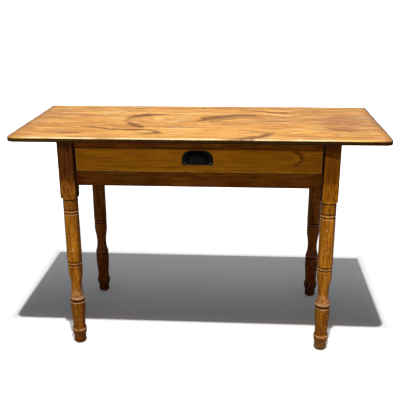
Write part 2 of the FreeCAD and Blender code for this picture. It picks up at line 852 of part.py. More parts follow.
def make_drawer_front():
    """The drawer front: half-blind sockets, a groove for the bottom, eased face, screw holes."""
    front = new_part("drawer_front", "0", "-face_along", "opening_foot")
    box(front, ("-drawer_half", "2 * drawer_half"), ("0", "drawer_front_thickness"),
        ("drawer_front_lift", "front_height"))

    def face_arris(edge):
        return near(edge.YMax, 0)
    ease(front, "Fillet", face_arris, Radius="drawer_front_arris")
    sockets = new_sketch(front, "YZ_Plane", "0", "slide_gap", "drawer_half - drawer_side_thickness")
    for tail in tails(*FRONT_END, "joint_clearance"):
        draw(sockets, tail)
    pocket = extrude(front, "Pocket", sockets, "drawer_side_thickness", backwards=True)
    mirror(front, [pocket])
    inner = "(drawer_half - drawer_side_thickness + panel_bite)"
    box(front, (f"-{inner}", f"2 * {inner}"),
        ("drawer_front_thickness - panel_bite", "panel_bite"),
        ("slide_gap + panel_top - panel_mouth - joint_clearance",
         "panel_mouth + 2 * joint_clearance"), cut=True)
    hole = round_hole(front, "ear_across", "0", "pull_foot + ear_radius",
                      "pull_screw_radius + screw_clearance",
                      "pull_screw_length - flange_thickness + screw_clearance", facing_back=True)
    mirror(front, [hole])


def make_drawer_back():
    """The drawer back, standing on the bottom, with sockets right through it."""
    back = new_part("drawer_back", "0", "-face_along", "opening_foot + slide_gap")
    box(back, ("-drawer_half", "2 * drawer_half"),
        ("drawer_length - drawer_side_thickness", "drawer_side_thickness"),
        ("panel_top", "back_height"))
    sockets = new_sketch(back, "YZ_Plane", out="drawer_half - drawer_side_thickness")
    for tail in tails(*BACK_END, "joint_clearance"):
        draw(sockets, tail)
    pocket = extrude(back, "Pocket", sockets, "drawer_side_thickness", backwards=True)
    mirror(back, [pocket])
    holes = [
        round_hole(back, offset, "drawer_length - drawer_side_thickness / 2",
                   "panel_top", "nail_radius + screw_clearance",
                   "nail_length - panel_thickness + screw_clearance")
        for offset in NAIL_OFFSETS
    ]
    mirror(back, holes)


def make_drawer_bottom():
    """The bottom panel, bevelled underneath to enter the grooves, nailed under the back."""
    panel = new_part("drawer_bottom", "0", "-face_along",
                     "opening_foot + slide_gap + groove_rise")
    half = "(drawer_half - drawer_side_thickness + panel_bite - panel_slack)"
    front_edge = "(drawer_front_thickness - panel_bite + panel_slack)"
    profile = new_sketch(panel, "XY_Plane", out="panel_thickness")
    draw(profile, [
        (f"-{half}", front_edge, LINE),
        (half, front_edge, LINE),
        (half, "drawer_length", LINE),
        (f"-{half}", "drawer_length", LINE),
    ])
    extrude(panel, "Pad", profile, "panel_thickness", backwards=True)
    reach, near_edge = work_out([half, front_edge])

    def fielded(edge):
        at_side = near(abs(edge.XMin), reach) and near(edge.XLength, 0)
        at_front = near(edge.YMin, near_edge) and near(edge.YLength, 0)
        return near(edge.ZMax, 0) and (at_side or at_front)
    bevel = ease(panel, "Chamfer", fielded, Size="panel_thickness - panel_edge",
                 Size2="panel_bevel")
    bevel.ChamferType = "Two distances"
    holes = [
        round_hole(panel, offset, "drawer_length - drawer_side_thickness / 2",
                   "0", "nail_radius + screw_clearance", "panel_thickness")
        for offset in NAIL_OFFSETS
    ]
    mirror(panel, holes)


def arch(half_width, haunch, crown, crown_half, fall):
    """Stations of a flattened arch, from the right haunch over the crown to the left haunch."""
    return [
        (half_width, haunch, ARC_UPRIGHT_HERE),
        (crown_half, f"{crown} - {fall}", ARC_ABOUT_AXIS),
        ("0", crown, ARC_ABOUT_AXIS),
        (f"-{crown_half}", f"{crown} - {fall}", ARC_UPRIGHT_NEXT),
        (f"-{half_width}", haunch, LINE),
    ]


def hood(half_width, foot, crown):
    """Stations of the hood's outline: an arch on a straight foot."""
    return [
        (f"-{half_width}", foot, LINE),
        (half_width, foot, LINE),
        *arch(half_width, "pull_haunch", crown, "cup_crown", "cup_crown_fall"),
    ]


def flange():
    """Stations of the flange: an arch with a round ear under each end."""
    half = "(pull_width / 2)"
    return [
        (f"-{half}", "ear_radius", ARC_UPRIGHT_HERE),
        ("-ear_across", "0", ARC_UPRIGHT_NEXT),
        ("ear_radius - ear_across", "ear_radius", LINE),
        ("ear_across - ear_radius", "ear_radius", ARC_UPRIGHT_HERE),
        ("ear_across", "0", ARC_UPRIGHT_NEXT),
        (half, "ear_radius", LINE),
        *arch(half, "pull_haunch", "pull_height", "pull_crown", "pull_crown_fall"),
    ]


def hood_block(body, half_width, foot, crown, projection, rounding):
    """Pads a hood from the drawer's face and rounds it over at the front."""
    sketch = new_sketch(body, "XZ_Plane")
    draw(sketch, hood(half_width, foot, crown))
    extrude(body, "Pad", sketch, projection)
    reach, base = work_out([projection, foot])

    def front_rim(edge):
        in_front = near(edge.YMin, -reach) and near(edge.YMax, -reach)
        return in_front and not near(edge.ZMax, base)
    ease(body, "Fillet", front_rim, Radius=rounding)


def make_pull():
    """The cast cup pull: a rounded hood on an eared flange, hollow from behind and below."""
    place = ("0", "-face_along", "opening_foot + pull_foot")
    pull = new_part("drawer_pull", *place)
    hood_block(pull, "cup_half_width", "ear_radius", "(pull_height - cup_margin)",
               "cup_projection", "cup_round")
    plate = new_sketch(pull, "XZ_Plane")
    draw(plate, flange())
    extrude(pull, "Pad", plate, "flange_thickness")
    core = new_body("pull_core")
    hood_block(core, "(cup_half_width - cup_wall)", "(ear_radius - lip_clear)",
               "(pull_height - cup_margin - cup_wall)", "(cup_projection - cup_wall)",
               "cup_round - cup_wall")
    hollow = pull.newObject("PartDesign::Boolean", "Hollow")
    hollow.Type = "Cut"
    hollow.setObjects([core])
    hole = round_hole(pull, "ear_across", "-flange_thickness", "ear_radius",
                      "pull_screw_radius + screw_clearance", "flange_thickness",
                      facing_back=True)
    mirror(pull, [hole])


def make_drawer():
    make_drawer_front()
    make_drawer_side("left", LEFT)
    make_drawer_side("right", RIGHT)
    make_drawer_back()
    make_drawer_bottom()
    make_pull()
    make_pull_screws()
    make_panel_nails()


# ---------------------------------------------------------------- build


document = FreeCAD.newDocument("TavernTable")
fill_sheet("Sizes", {name: str(value) for name, value in SIZES.items()})
fill_sheet("Worked", {name: "=" + bound(formula) for name, formula in WORKED.items()})
outlines = document.addObject("Spreadsheet::Sheet", "Outlines")
outline_rows = {}
parts = []
document.recompute()

make_top()
make_legs()
make_aprons()
make_front_top_rail()
make_bearers()
make_top_screws()
make_drawer()
document.recompute()

for item in document.Objects:
    if {"Invalid", "Error"} & set(item.State):
        raise RuntimeError(f"{item.Name} ({item.Label}) failed")
for part in parts:
    if part.Shape.isNull() or not part.Shape.isValid() or not part.Shape.Solids:
        raise RuntimeError(f"{part.Label} has no valid solid")

os.makedirs("parts", exist_ok=True)
for part in parts:
    part.Shape.exportStep(f"parts/{part.Label}.step")
    print(part.Label, len(part.Shape.Solids), "solid(s)", round(part.Shape.Volume / 1000, 1), "cm3")
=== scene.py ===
"""Tavern table: finish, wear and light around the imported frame. Metres, +Z up, drawer faces -Y."""

import math
from functools import partialmethod

import bmesh
import bpy
from mathutils import Matrix, Vector, noise


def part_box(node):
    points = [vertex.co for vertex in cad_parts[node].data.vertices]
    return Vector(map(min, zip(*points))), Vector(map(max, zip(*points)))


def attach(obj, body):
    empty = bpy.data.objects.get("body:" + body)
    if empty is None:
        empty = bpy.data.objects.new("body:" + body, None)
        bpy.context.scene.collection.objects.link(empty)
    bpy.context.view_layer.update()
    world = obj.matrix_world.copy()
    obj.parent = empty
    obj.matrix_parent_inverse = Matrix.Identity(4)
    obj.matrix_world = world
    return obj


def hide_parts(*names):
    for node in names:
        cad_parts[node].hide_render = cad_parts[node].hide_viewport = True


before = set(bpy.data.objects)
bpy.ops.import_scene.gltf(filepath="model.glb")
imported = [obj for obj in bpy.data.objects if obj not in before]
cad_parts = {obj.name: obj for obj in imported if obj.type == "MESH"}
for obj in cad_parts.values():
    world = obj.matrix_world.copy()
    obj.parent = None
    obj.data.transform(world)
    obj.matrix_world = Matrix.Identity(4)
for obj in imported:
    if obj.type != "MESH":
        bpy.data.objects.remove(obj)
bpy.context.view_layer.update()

# Places taken from the frame, and heights of the turning above the floor.
TOP_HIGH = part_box("top_back_board")[1]
HALF_LENGTH = TOP_HIGH.x
HALF_DEPTH = TOP_HIGH.y
FRONT_CORNER = 0.028
BACK_CORNER = 0.005
BLOCK_FOOT = 0.5415
SHOULDER_TOP = 0.559
SHOULDER_GROOVE = 0.5386
BEAD = 0.4965
RING = 0.308
GROOVE_OFFSET = 0.0055
COLLAR_GROOVE = 0.167
FOOT_RING = 0.049

# Linear colours.
GOLD = (0.88, 0.43, 0.095)
PALE_GOLD = (1.0, 0.63, 0.21)
HONEY = (0.6, 0.25, 0.046)
YELLOW_PINE = (0.8, 0.46, 0.075)
ORANGE_PINE = (0.8, 0.32, 0.095)
ROSE = (0.44, 0.18, 0.062)
TOP_LATEWOOD = (0.34, 0.115, 0.022)
STAIN = (0.142, 0.05, 0.023)
CREAM = (0.96, 0.76, 0.4)
RIM = (0.085, 0.058, 0.042)
OLIVE = (0.085, 0.036, 0.0015)
CHESTNUT = (0.27, 0.088, 0.003)
OCHRE = (0.345, 0.132, 0.004)
AMBER = (0.45, 0.165, 0.01)
RUSSET = (0.165, 0.048, 0.008)
UMBER = (0.15, 0.042, 0.002)
MOSS = (0.11, 0.052, 0.003)
MAROON = (0.07, 0.016, 0.002)
SOOT = (0.014, 0.005, 0.002)
STRAW = (0.66, 0.36, 0.11)
LIP = (0.68, 0.4, 0.22)
DUST = (0.42, 0.28, 0.14)
FOOT_SHADE = (0.55, 0.47, 0.3)
BACK_LEG_DARKENING = (0.65, 0.42, 0.9)
BARE_PINE = (0.25, 0.135, 0.057)
BARE_LATEWOOD = (0.15, 0.068, 0.026)
IRON = (0.0012, 0.0011, 0.0012)
WORN_IRON = (0.004, 0.0035, 0.0035)
RUBBED_HIGHLIT_IRON = (0.012, 0.012, 0.013)
BRIGHT_HIGHLIT_IRON = (0.05, 0.053, 0.058)
STEEL = (0.022, 0.02, 0.019)
WARM_SHEEN = (1.0, 0.62, 0.28)


def shade(factor, colour):
    return tuple(factor * value for value in colour)


# The camera, fitted to the picture's 400 x 400 frame.
CAMERA_PLACE = (0.1535, -2.3198, 1.2262)
CAMERA_PITCH = math.radians(70.12)
CAMERA_YAW = math.radians(4.134)
CAMERA_ROLL = math.radians(-0.327)
CAMERA_LENS = 60.65
CAMERA_SHIFT = (0.0038, 0.055)

# The lamp whose distance and height give the floor's shadow its size and place.
KEY_PLACE = (0.1325, -1.781, 5.55)


# ---- shader formulas


# Colour sockets of Blender's Mix node, whose names are shared with its other data types.
MIX_FIRST, MIX_SECOND, MIX_RESULT = 6, 7, 2


def linked(name, data):
    """A new object in the scene."""
    made = bpy.data.objects.new(name, data)
    bpy.context.scene.collection.objects.link(made)
    return made


def mesh_data(mesh, name):
    data = bpy.data.meshes.new(name)
    mesh.to_mesh(data)
    mesh.free()
    return data


class Shader:
    """The node tree of a material or world, with a call for each formula that is used."""

    def __init__(self, name, owners=bpy.data.materials, output="OutputMaterial"):
        self.owner = owners.new(name)
        self.owner.use_nodes = True
        self.nodes = self.owner.node_tree.nodes
        self.nodes.clear()
        self.surface = self.node(output).inputs["Surface"]
        self.position = self.node("TexCoord").outputs["Object"]

    def feed(self, socket, value):
        if isinstance(value, bpy.types.NodeSocket):
            self.owner.node_tree.links.new(value, socket)
        elif isinstance(value, tuple) and len(value) == 3 and socket.type == "RGBA":
            socket.default_value = (*value, 1)
        else:
            socket.default_value = value

    def node(self, kind, *values, **settings):
        """A new node with its settings made and its first sockets fed."""
        made = self.nodes.new("ShaderNode" + kind)
        for name, value in settings.items():
            setattr(made, name, value)
        for socket, value in zip(made.inputs, values):
            self.feed(socket, value)
        return made

    def math(self, operation, *values, clamp=False):
        return self.node("Math", *values, operation=operation, use_clamp=clamp).outputs[0]

    def vector_math(self, operation, *values):
        node = self.node("VectorMath", *values, operation=operation)
        return node.outputs["Value" if operation in ("LENGTH", "DOT_PRODUCT") else "Vector"]

    minus = partialmethod(math, "SUBTRACT")
    larger = partialmethod(math, "MAXIMUM")
    smaller = partialmethod(math, "MINIMUM")
    absolute = partialmethod(math, "ABSOLUTE")
    offset = partialmethod(vector_math, "SUBTRACT")
    scaled = partialmethod(vector_math, "MULTIPLY")
    length = partialmethod(vector_math, "LENGTH")

    def add(self, *values):
        total = values[0]
        for value in values[1:]:
            total = self.math("ADD", total, value)
        return total

    def times(self, *values):
        product = values[0]
        for value in values[1:]:
            product = self.math("MULTIPLY", product, value)
        return product

    def total(self, base, *terms):
        """A base and several terms, each given as its value and its weight."""
        return self.add(base, *(self.times(*term) for term in terms))

    def swing(self, noise, reach):
        """Noise turned into a shift to either side."""
        return self.times(self.minus(noise, 0.5), reach)

    def split(self, vector):
        return tuple(self.node("SeparateXYZ", vector).outputs)

    def join(self, x, y, z):
        return self.node("CombineXYZ", x, y, z).outputs[0]

    def step(self, value, low, high):
        """Rises smoothly from 0 at low to 1 at high, or falls where high is below low."""
        ends = (0.0, 1.0) if high > low else (1.0, 0.0)
        return self.node("MapRange", value, min(low, high), max(low, high), *ends,
                         interpolation_type="SMOOTHSTEP").outputs["Result"]

    def steps(self, *ramps):
        """The product of several steps, each given as its value and its two ends."""
        return self.times(*(self.step(*ramp) for ramp in ramps))

    def band(self, value, centre, half_width, softness):
        """1 within half_width of the centre, falling to 0 over the softness."""
        distance = self.absolute(self.minus(value, centre))
        return self.step(distance, half_width + softness, half_width)

    def noise(self, vector, detail=3.0, roughness=0.55, seed=0.0):
        return self.node("TexNoise", vector, seed, 1.0, detail, roughness,
                         noise_dimensions="4D").outputs["Fac"]

    def grain(self, axes, scales, **settings):
        """Noise with a scale of its own along each axis, so that it follows the grain."""
        scaled = [self.times(axis, scale) for axis, scale in zip(axes, scales)]
        return self.noise(self.join(*scaled), **settings)

    def mix(self, factor, first, second, blend="MIX"):
        node = self.node("Mix", factor, data_type="RGBA", blend_type=blend)
        self.feed(node.inputs[MIX_FIRST], first)
        self.feed(node.inputs[MIX_SECOND], second)
        return node.outputs[MIX_RESULT]

    def tint(self, colour, *layers):
        """The colour under layers: tone, strength, and a factor, or a value and its step."""
        for tone, strength, value, *ends in layers:
            factor = self.times(self.step(value, *ends) if ends else value, strength)
            colour = self.mix(factor, colour, tone)
        return colour

    def distance_to_segment(self, point, start, end):
        """How far along the line between two places a point lies, 0 to 1, and its distance."""
        run = Vector(end) - Vector(start)
        offset = self.offset(point, tuple(start))
        share = self.vector_math("DOT_PRODUCT", offset, tuple(run / run.length_squared))
        share = self.math("MULTIPLY", share, 1.0, clamp=True)
        along = self.scaled(tuple(run), self.join(share, share, share))
        return share, self.length(self.offset(offset, along))

    def finish(self, colour, roughness, height, bump_depth, **constants):
        """Ends the tree in a Principled shader. The constants go on its own sockets."""
        bump = self.node("Bump")
        self.feed(bump.inputs["Distance"], bump_depth)
        self.feed(bump.inputs["Height"], height)
        shader = self.node("BsdfPrincipled", colour)
        self.feed(shader.inputs["Roughness"], roughness)
        self.feed(shader.inputs["Normal"], bump.outputs["Normal"])
        for name, value in constants.items():
            self.feed(shader.inputs[name.replace("_", " ")], value)
        self.feed(self.surface, shader.outputs[0])
        return self.owner


# ---- wood


def grain_axes(wood, along):
    """Position as along the grain, across the face, and into the piece."""
    x, y, z = wood.split(wood.position)
    return {"X": (x, y, z), "Y": (y, x, z), "Z": (z, x, y)}[along]


def growth_rings(wood, axes, pith, lean, spacing, seed):
    """Latewood lines of a log whose pith lies off the piece, leans, and wanders: 0 to 1."""
    along, across, deep = axes
    slow = wood.noise(wood.join(wood.times(along, 2.2), 0.0, 0.0), 2.0, 0.5, seed)
    sway = wood.swing(slow, 0.05)
    across = wood.add(across, -pith[0], wood.times(along, lean[0]), sway)
    deep = wood.add(deep, -pith[1], wood.times(along, lean[1]), sway)
    radius = wood.math("SQRT", wood.add(wood.times(across, across), wood.times(deep, deep)))
    ripple = wood.grain(axes, (7, 45, 45), detail=2.0, seed=seed + 3)
    turns = wood.add(wood.times(radius, 1 / spacing), wood.times(ripple, 0.9))
    phase = wood.math("FRACT", turns)
    return wood.steps((phase, 0.3, 0.85), (phase, 1.0, 0.9))


def fibres(wood, axes, seed):
    """Fine fibres along the grain, from 0 to 1."""
    return wood.grain(axes, (14, 700, 700), detail=4.0, roughness=0.7, seed=seed)


def streaks(wood, axes, seed, width=0.03):
    """Broad streaks along the grain, from 0 to 1."""
    across = 1 / width
    return wood.grain(axes, (across / 12, across, across), roughness=0.6, seed=seed)


# ---- finish of the table top


def in_metres(value):
    """Millimetres, alone or in nested rows, turned into metres."""
    return value / 1000 if isinstance(value, int) else tuple(in_metres(part) for part in value)


def metre_rows(*rows):
    return [(strength, in_metres(places)) for strength, places in rows]


# Stains on the top, in millimetres: each stroke's strength, and the places that it runs through,
# each with the stroke's half width there.
STROKES = metre_rows(
    (0.92, ((-135, 122, 6), (-200, 106, 24), (-234, 74, 24), (-256, 42, 10))),
    (0.65, ((-256, 42, 8), (-264, 4, 4), (-256, -36, 4))),
    (1.0, ((-256, -36, 5), (-233, -68, 16), (-205, -100, 19), (-190, -122, 6))),
    (0.98, ((0, 8, 12), (20, 44, 28), (50, 62, 26), (85, 92, 19), (120, 108, 14), (195, 110, 6))),
    (0.62, ((40, 4, 14), (85, 50, 24), (180, 88, 16))),
    (0.98, ((190, 194, 6), (235, 172, 10), (268, 164, 13), (295, 152, 10))),
    (0.95, ((234, -190, 9), (212, -226, 14), (180, -252, 14), (150, -272, 12), (122, -288, 12))),
    (0.8, ((85, -283, 6), (130, -282, 12), (172, -281, 7))),
    (0.9, ((-405, -104, 4), (-355, -122, 9), (-305, -146, 10), (-255, -158, 9), (-220, -155, 10))),
    (0.95, ((-220, -155, 11), (-180, -152, 10), (-145, -170, 9), (-128, -198, 12),
            (-170, -208, 8))),
    (0.55, ((-130, -108, 4), (-80, -116, 8), (-20, -112, 4))),
    (0.5, ((130, -136, 4), (175, -160, 8), (232, -190, 8))),
    (0.6, ((386, 126, 9), (352, 100, 7), (315, 84, 5))),
    (0.7, ((-460, 242, 8), (-425, 230, 14), (-375, 218, 6))),
    (0.85, ((-440, -212, 13), (-385, -208, 6))),
    (0.55, ((415, -98, 6), (450, -124, 14), (500, -150, 12))),
)
# Pale scuffed lines, given as the strokes are.
PALE_STROKES = metre_rows(
    (0.75, ((-520, 139, 3), (-380, 141, 6), (-250, 136, 7), (-120, 134, 8), (20, 130, 7),
            (95, 126, 3))),
    (0.55, ((-165, 66, 7), (-150, 30, 10), (-160, 10, 5))),
    (0.7, ((-125, -128, 4), (-70, -131, 8), (0, -127, 4))),
    (0.5, ((225, 140, 6), (270, 120, 12), (310, 112, 6))),
    (0.45, ((105, 82, 4), (140, 78, 8), (180, 80, 4))),
    (0.55, ((-185, -172, 4), (-160, -182, 6))),
    (0.45, ((285, -20, 7), (300, -34, 6))),
    (0.45, ((-420, 210, 5), (-380, 206, 6), (-340, 210, 3))),
    (0.5, ((300, -178, 5), (325, -176, 6))),
    (0.45, ((-180, -10, 5), (-130, -16, 8), (-90, -12, 4))),
)
# Small round marks: strength, and place and radius.
MARKS = metre_rows(
    (0.6, (-250, 222, 22)), (0.55, (-305, 142, 12)), (0.6, (-442, -68, 9)), (0.9, (305, -158, 6)),
    (0.65, (440, -208, 11)), (0.6, (280, 2, 12)), (0.45, (-5, 238, 10)), (0.45, (555, 238, 10)),
    (0.35, (420, 215, 14)), (0.25, (-400, 70, 18)), (0.5, (-565, -50, 12)), (0.3, (145, 200, 12)),
)
# Broad tints: strength, and centre and reach along X and Y. Rose is the darker, redder wood.
ROSE_ZONES = metre_rows(
    (1.0, ((520, 20), (190, 240))), (0.6, ((440, -130), (90, 40))), (0.7, ((430, 245), (280, 45))),
    (0.6, ((290, 10), (200, 80))), (0.75, ((-520, 130), (110, 80))),
    (0.6, ((-570, -20), (50, 240))), (0.45, ((-330, 250), (280, 35))),
    (0.45, ((-400, 90), (110, 30))), (0.45, ((240, -45), (120, 25))),
)
GOLD_ZONES = metre_rows(
    (1.0, ((20, -205), (330, 85))), (0.65, ((-330, -235), (220, 40))),
    (0.85, ((-110, 50), (110, 70))), (1.0, ((-50, 134), (160, 8))), (1.0, ((-380, 138), (150, 7))),
    (0.7, ((160, -100), (180, 45))), (0.8, ((330, -150), (100, 60))),
    (0.45, ((-50, 205), (300, 30))), (0.6, ((480, 165), (120, 12))),
)
# How far noise moves a broad tint's edge, and how far out the tint shows, as shares of its reach.
RAGGED_REACH = 1.1
ZONE_REACH = 1.7
# How far past its own reach a stroke or mark may still change the wood, through its ragged edge.
RAGGED_MARGIN = 0.03
# Distances outside a stroke between which it fades in.
STAIN_FADE = (0.007, -0.006)
SCUFF_FADE = (0.007, -0.004)
# Heights, distances from an edge and places along the top between which its finish changes.
FACE_TO_EDGE = (0.7568, 0.7556)
EDGE_HEAD = (0.75, 0.754)
EDGE_FOOT = (0.75, 0.746)
EDGE_TO_UNDER = (0.7445, 0.7441)
DARK_RIM = (0.0095, 0.0045)
DARK_END = (0.034, 0.004)
BARE_LIT_ARRIS = (0.005, 0.0024)
BARE_LIT_FROM_END = (0.006, 0.11)
PALER_ARRIS = (0.36, 0.5)
DARKER_EDGE = (-0.35, 0.0)
# Distances between the latewood lines.
TOP_RINGS = 0.0095
STAINED_RINGS = 0.0042
BARE_WOOD_RINGS = 0.0045


def stroke_span(places):
    """The lowest and highest Y that a stroke reaches."""
    return min(y - width for _, y, width in places), max(y + width for _, y, width in places)


def zone_span(zone):
    (_, y), (_, reach) = zone
    return y - ZONE_REACH * reach, y + ZONE_REACH * reach


def on_board(board, rows, span, margin=RAGGED_MARGIN):
    """The rows of a table that reach a board, so that its finish holds no others."""
    return [(strength, place) for strength, place in rows
            if span(place)[0] - margin < board[1] and span(place)[1] + margin > board[0]]


def zones(wood, plan, ragged, board, rows):
    """Broad soft patches, each an ellipse with ragged edges."""
    total = 0.0
    for strength, (centre, reach) in on_board(board, rows, zone_span, 0.0):
        offset = wood.offset(plan, (*centre, 0))
        scaled = wood.scaled(offset, (1 / reach[0], 1 / reach[1], 0))
        distance = wood.add(wood.length(scaled), ragged)
        total = wood.larger(total, wood.times(wood.step(distance, 1.05, 0.35), strength))
    return total


def stroke_distance(wood, point, places):
    """Distance outside a stroke whose width changes along it, below 0 inside."""
    nearest = 1.0
    for (*start, width), (*end, next_width) in zip(places, places[1:]):
        share, distance = wood.distance_to_segment(point, start, end)
        width = wood.total(width, (share, next_width - width))
        nearest = wood.smaller(nearest, wood.minus(distance, width))
    return nearest


def soaked_plan(wood, axes):
    """The place on the top, shifted by noise along the grain, so that stains soak into it."""
    x, y, _ = axes
    along = wood.swing(wood.grain(axes, (26, 90, 1), detail=4.0), 0.06)
    across = wood.swing(wood.grain(axes, (22, 110, 1), detail=4.0, seed=6.0), 0.042)
    return wood.join(wood.add(x, along), wood.add(y, across), 0.0)


def strokes(wood, plan, board, rows, fade):
    """The strongest of several strokes, each fading between two distances from it."""
    total = 0.0
    for strength, places in on_board(board, rows, stroke_span):
        level = [(x, y, 0, width) for x, y, width in places]
        inside = wood.step(stroke_distance(wood, plan, level), *fade)
        total = wood.larger(total, wood.times(inside, strength))
    return total


def stains(wood, plan, axes, board):
    """Spilled-liquid strokes and small marks."""
    patchy = wood.step(wood.grain(axes, (40, 110, 1), detail=4.0, seed=4.0), 0.34, 0.6)
    total = strokes(wood, plan, board, STROKES, STAIN_FADE)
    for strength, (x, y, radius) in on_board(board, MARKS, lambda mark: stroke_span([mark])):
        distance = wood.length(wood.offset(plan, (x, y, 0)))
        inside = wood.step(distance, radius * 1.3, radius * 0.3)
        total = wood.larger(total, wood.times(inside, strength))
    return wood.times(total, wood.total(0.5, (patchy, 0.5)))


def worn_top(name, board, pith, lean, seed):
    """Scrubbed and waxed pine, stained on its face, bare and with a painted highlight on its front
    arris, dark on its edge.
    """
    wood = Shader(name)
    axes = grain_axes(wood, "X")
    x, y, z = axes
    plan = wood.join(x, y, 0.0)
    rings = growth_rings(wood, axes, pith, lean, TOP_RINGS, seed)
    fibre = fibres(wood, axes, seed)
    streak = wood.grain(axes, (6, 34, 1), roughness=0.6, seed=seed)
    cloud = wood.grain(axes, (5.5, 22, 1), detail=5.0, roughness=0.65, seed=seed)
    mottle = wood.grain(axes, (26, 60, 1), roughness=0.6, seed=seed + 9)
    hue = wood.grain(axes, (8, 34, 1), seed=seed + 15)
    dark_streak = wood.grain(axes, (9, 58, 1), seed=seed + 7)
    pale_streak = wood.grain(axes, (8, 62, 1), seed=seed + 12)
    ragged = wood.swing(cloud, RAGGED_REACH)
    rose = zones(wood, plan, ragged, board, ROSE_ZONES)
    uneven_rose = wood.total(0.62, (wood.step(streak, 0.66, 0.36), 0.3))
    gold = zones(wood, plan, ragged, board, GOLD_ZONES)
    soaked = soaked_plan(wood, axes)
    scuffs = strokes(wood, soaked, board, PALE_STROKES, SCUFF_FADE)
    spot = stains(wood, soaked, axes, board)
    colour = wood.tint(
        wood.mix(wood.step(streak, 0.4, 0.6), HONEY, GOLD),
        (ROSE, uneven_rose, rose),
        (GOLD, 0.75, gold),
        (YELLOW_PINE, 0.45, hue, 0.54, 0.72),
        (ORANGE_PINE, 0.4, hue, 0.46, 0.28),
        (TOP_LATEWOOD, 0.68, dark_streak, 0.54, 0.68),
        (CREAM, 0.6, pale_streak, 0.55, 0.7),
        (TOP_LATEWOOD, 0.26, rings),
        (ROSE, 0.18, fibre, 0.5, 0.75),
        (ROSE, 0.4, mottle, 0.52, 0.7),
        (CREAM, 0.26, mottle, 0.44, 0.3),
        (PALE_GOLD, 1.0, scuffs),
        (STAIN, 0.94, spot),
    )

    chips = wood.grain(axes, (70, 70, 70), seed=seed + 2)
    uneven = wood.step(wood.grain((x, x, x), (9, 0, 0), detail=2.0, seed=2.0), 0.36, 0.52)
    from_front = wood.add(y, HALF_DEPTH, wood.swing(chips, 0.004), wood.times(uneven, -0.0022))
    from_end = wood.minus(HALF_LENGTH, wood.absolute(x))
    from_edge = wood.smaller(from_end, wood.minus(HALF_DEPTH, y))
    # The front arris painted cream: bare worn wood and painted highlight.
    bare_and_highlight = wood.times(wood.steps((from_front, *BARE_LIT_ARRIS), (from_end, *BARE_LIT_FROM_END)),
                      wood.total(0.45, (uneven, 0.55)), wood.minus(1.0, spot))
    colour = wood.mix(bare_and_highlight, colour, wood.mix(wood.step(x, *PALER_ARRIS), CREAM, PALE_GOLD))
    colour = wood.tint(colour, (STAIN, 0.42, from_end, *DARK_END),
                       (RIM, 0.92, from_edge, *DARK_RIM))

    edge_streak = streaks(wood, axes, seed + 5, 0.02)
    edge = wood.tint(
        wood.mix(wood.step(edge_streak, 0.4, 0.65), OLIVE, MAROON),
        (SOOT, 0.55, x, *DARKER_EDGE),
        (SOOT, 1.0, z, *EDGE_FOOT),
        (SOOT, 0.6, z, *EDGE_HEAD),
    )
    on_edge = wood.step(wood.add(z, wood.swing(chips, 0.002)), *FACE_TO_EDGE)
    colour = wood.mix(on_edge, colour, edge)
    under = wood.tint(BARE_PINE, (BARE_LATEWOOD, 0.5, rings))
    colour = wood.mix(wood.step(z, *EDGE_TO_UNDER), colour, under)
    roughness = wood.total(0.42, (fibre, 0.16), (spot, 0.12), (on_edge, 0.45))
    height = wood.total(0.0, (rings, 0.5), (fibre, 0.5), (cloud, 0.6))
    return wood.finish(colour, roughness, height, bump_depth=0.0003,
                       Specular_IOR_Level=0.06, Specular_Tint=WARM_SHEEN)


# ---- stained frame and legs


def stained_wood(name, along, pith, lean, seed, tone, contrast=0.5, streak_width=0.018):
    """Old brown stain and wax: fine lines along the grain, darker in its streaks."""
    wood = Shader(name)
    axes = grain_axes(wood, along)
    rings = growth_rings(wood, axes, pith, lean, STAINED_RINGS, seed)
    fibre = fibres(wood, axes, seed)
    light, dark = tone
    colour = wood.mix(wood.step(streaks(wood, axes, seed, streak_width), 0.36, 0.64), dark, light)
    colour = wood.tint(colour, (dark, contrast, rings), (SOOT, 0.3, fibre, 0.5, 0.78))
    return wood, axes, colour, rings, fibre


def finish_stained(wood, colour, rings, fibre, dull=0.0):
    roughness = wood.total(0.44, (fibre, 0.2), (dull, 0.5))
    height = wood.total(0.0, (rings, 0.6), (fibre, 0.6))
    return wood.finish(colour, roughness, height, bump_depth=0.00025,
                       Specular_IOR_Level=0.03, Specular_Tint=WARM_SHEEN)


# Distances from the table's middle between which a rail darkens towards its joint, as painted shade.
NEAR_JOINT = (0.365, 0.395)


def rail_finish(name, along, pith, seed, foot=None):
    """A rail, greener and redder in patches, darker along its foot and with painted shade near its
    joints, where the foot is given.
    """
    wood, axes, colour, rings, fibre = stained_wood(
        name, along, pith, (0.0, 0.02), seed, (UMBER, MAROON), streak_width=0.008
    )
    patch = wood.grain(axes, (7, 26, 26), seed=seed + 4)
    lines = wood.grain(axes, (12, 190, 190), detail=2.0, seed=seed + 8)
    colour = wood.tint(
        colour,
        (RUSSET, 0.6, patch, 0.5, 0.66),
        (MOSS, 0.45, patch, 0.48, 0.34),
        (MAROON, 0.6, lines, 0.52, 0.66),
        (CHESTNUT, 0.35, lines, 0.46, 0.32),
    )
    if foot is not None:
        height = wood.split(wood.position)[2]
        # Painted shade near the joints with the legs.
        joint_shade = wood.steps((wood.absolute(axes[0]), *NEAR_JOINT), (patch, 0.36, 0.56))
        colour = wood.tint(colour, (SOOT, 0.75, height, foot + 0.004, foot + 0.0015),
                           (MAROON, 0.6, joint_shade))
    return finish_stained(wood, colour, rings, fibre)


# The dark crescent of a knot on the drawer front: places in its face and half widths there, and
# the middle of the paler wood inside it.
KNOT_STROKE = [(0.313, 0.708, 0.0026), (0.327, 0.699, 0.0042), (0.333, 0.687, 0.0026),
               (0.329, 0.674, 0.0018), (0.313, 0.663, 0.0012)]
KNOT_HOLLOW = (0.318, 0.686)


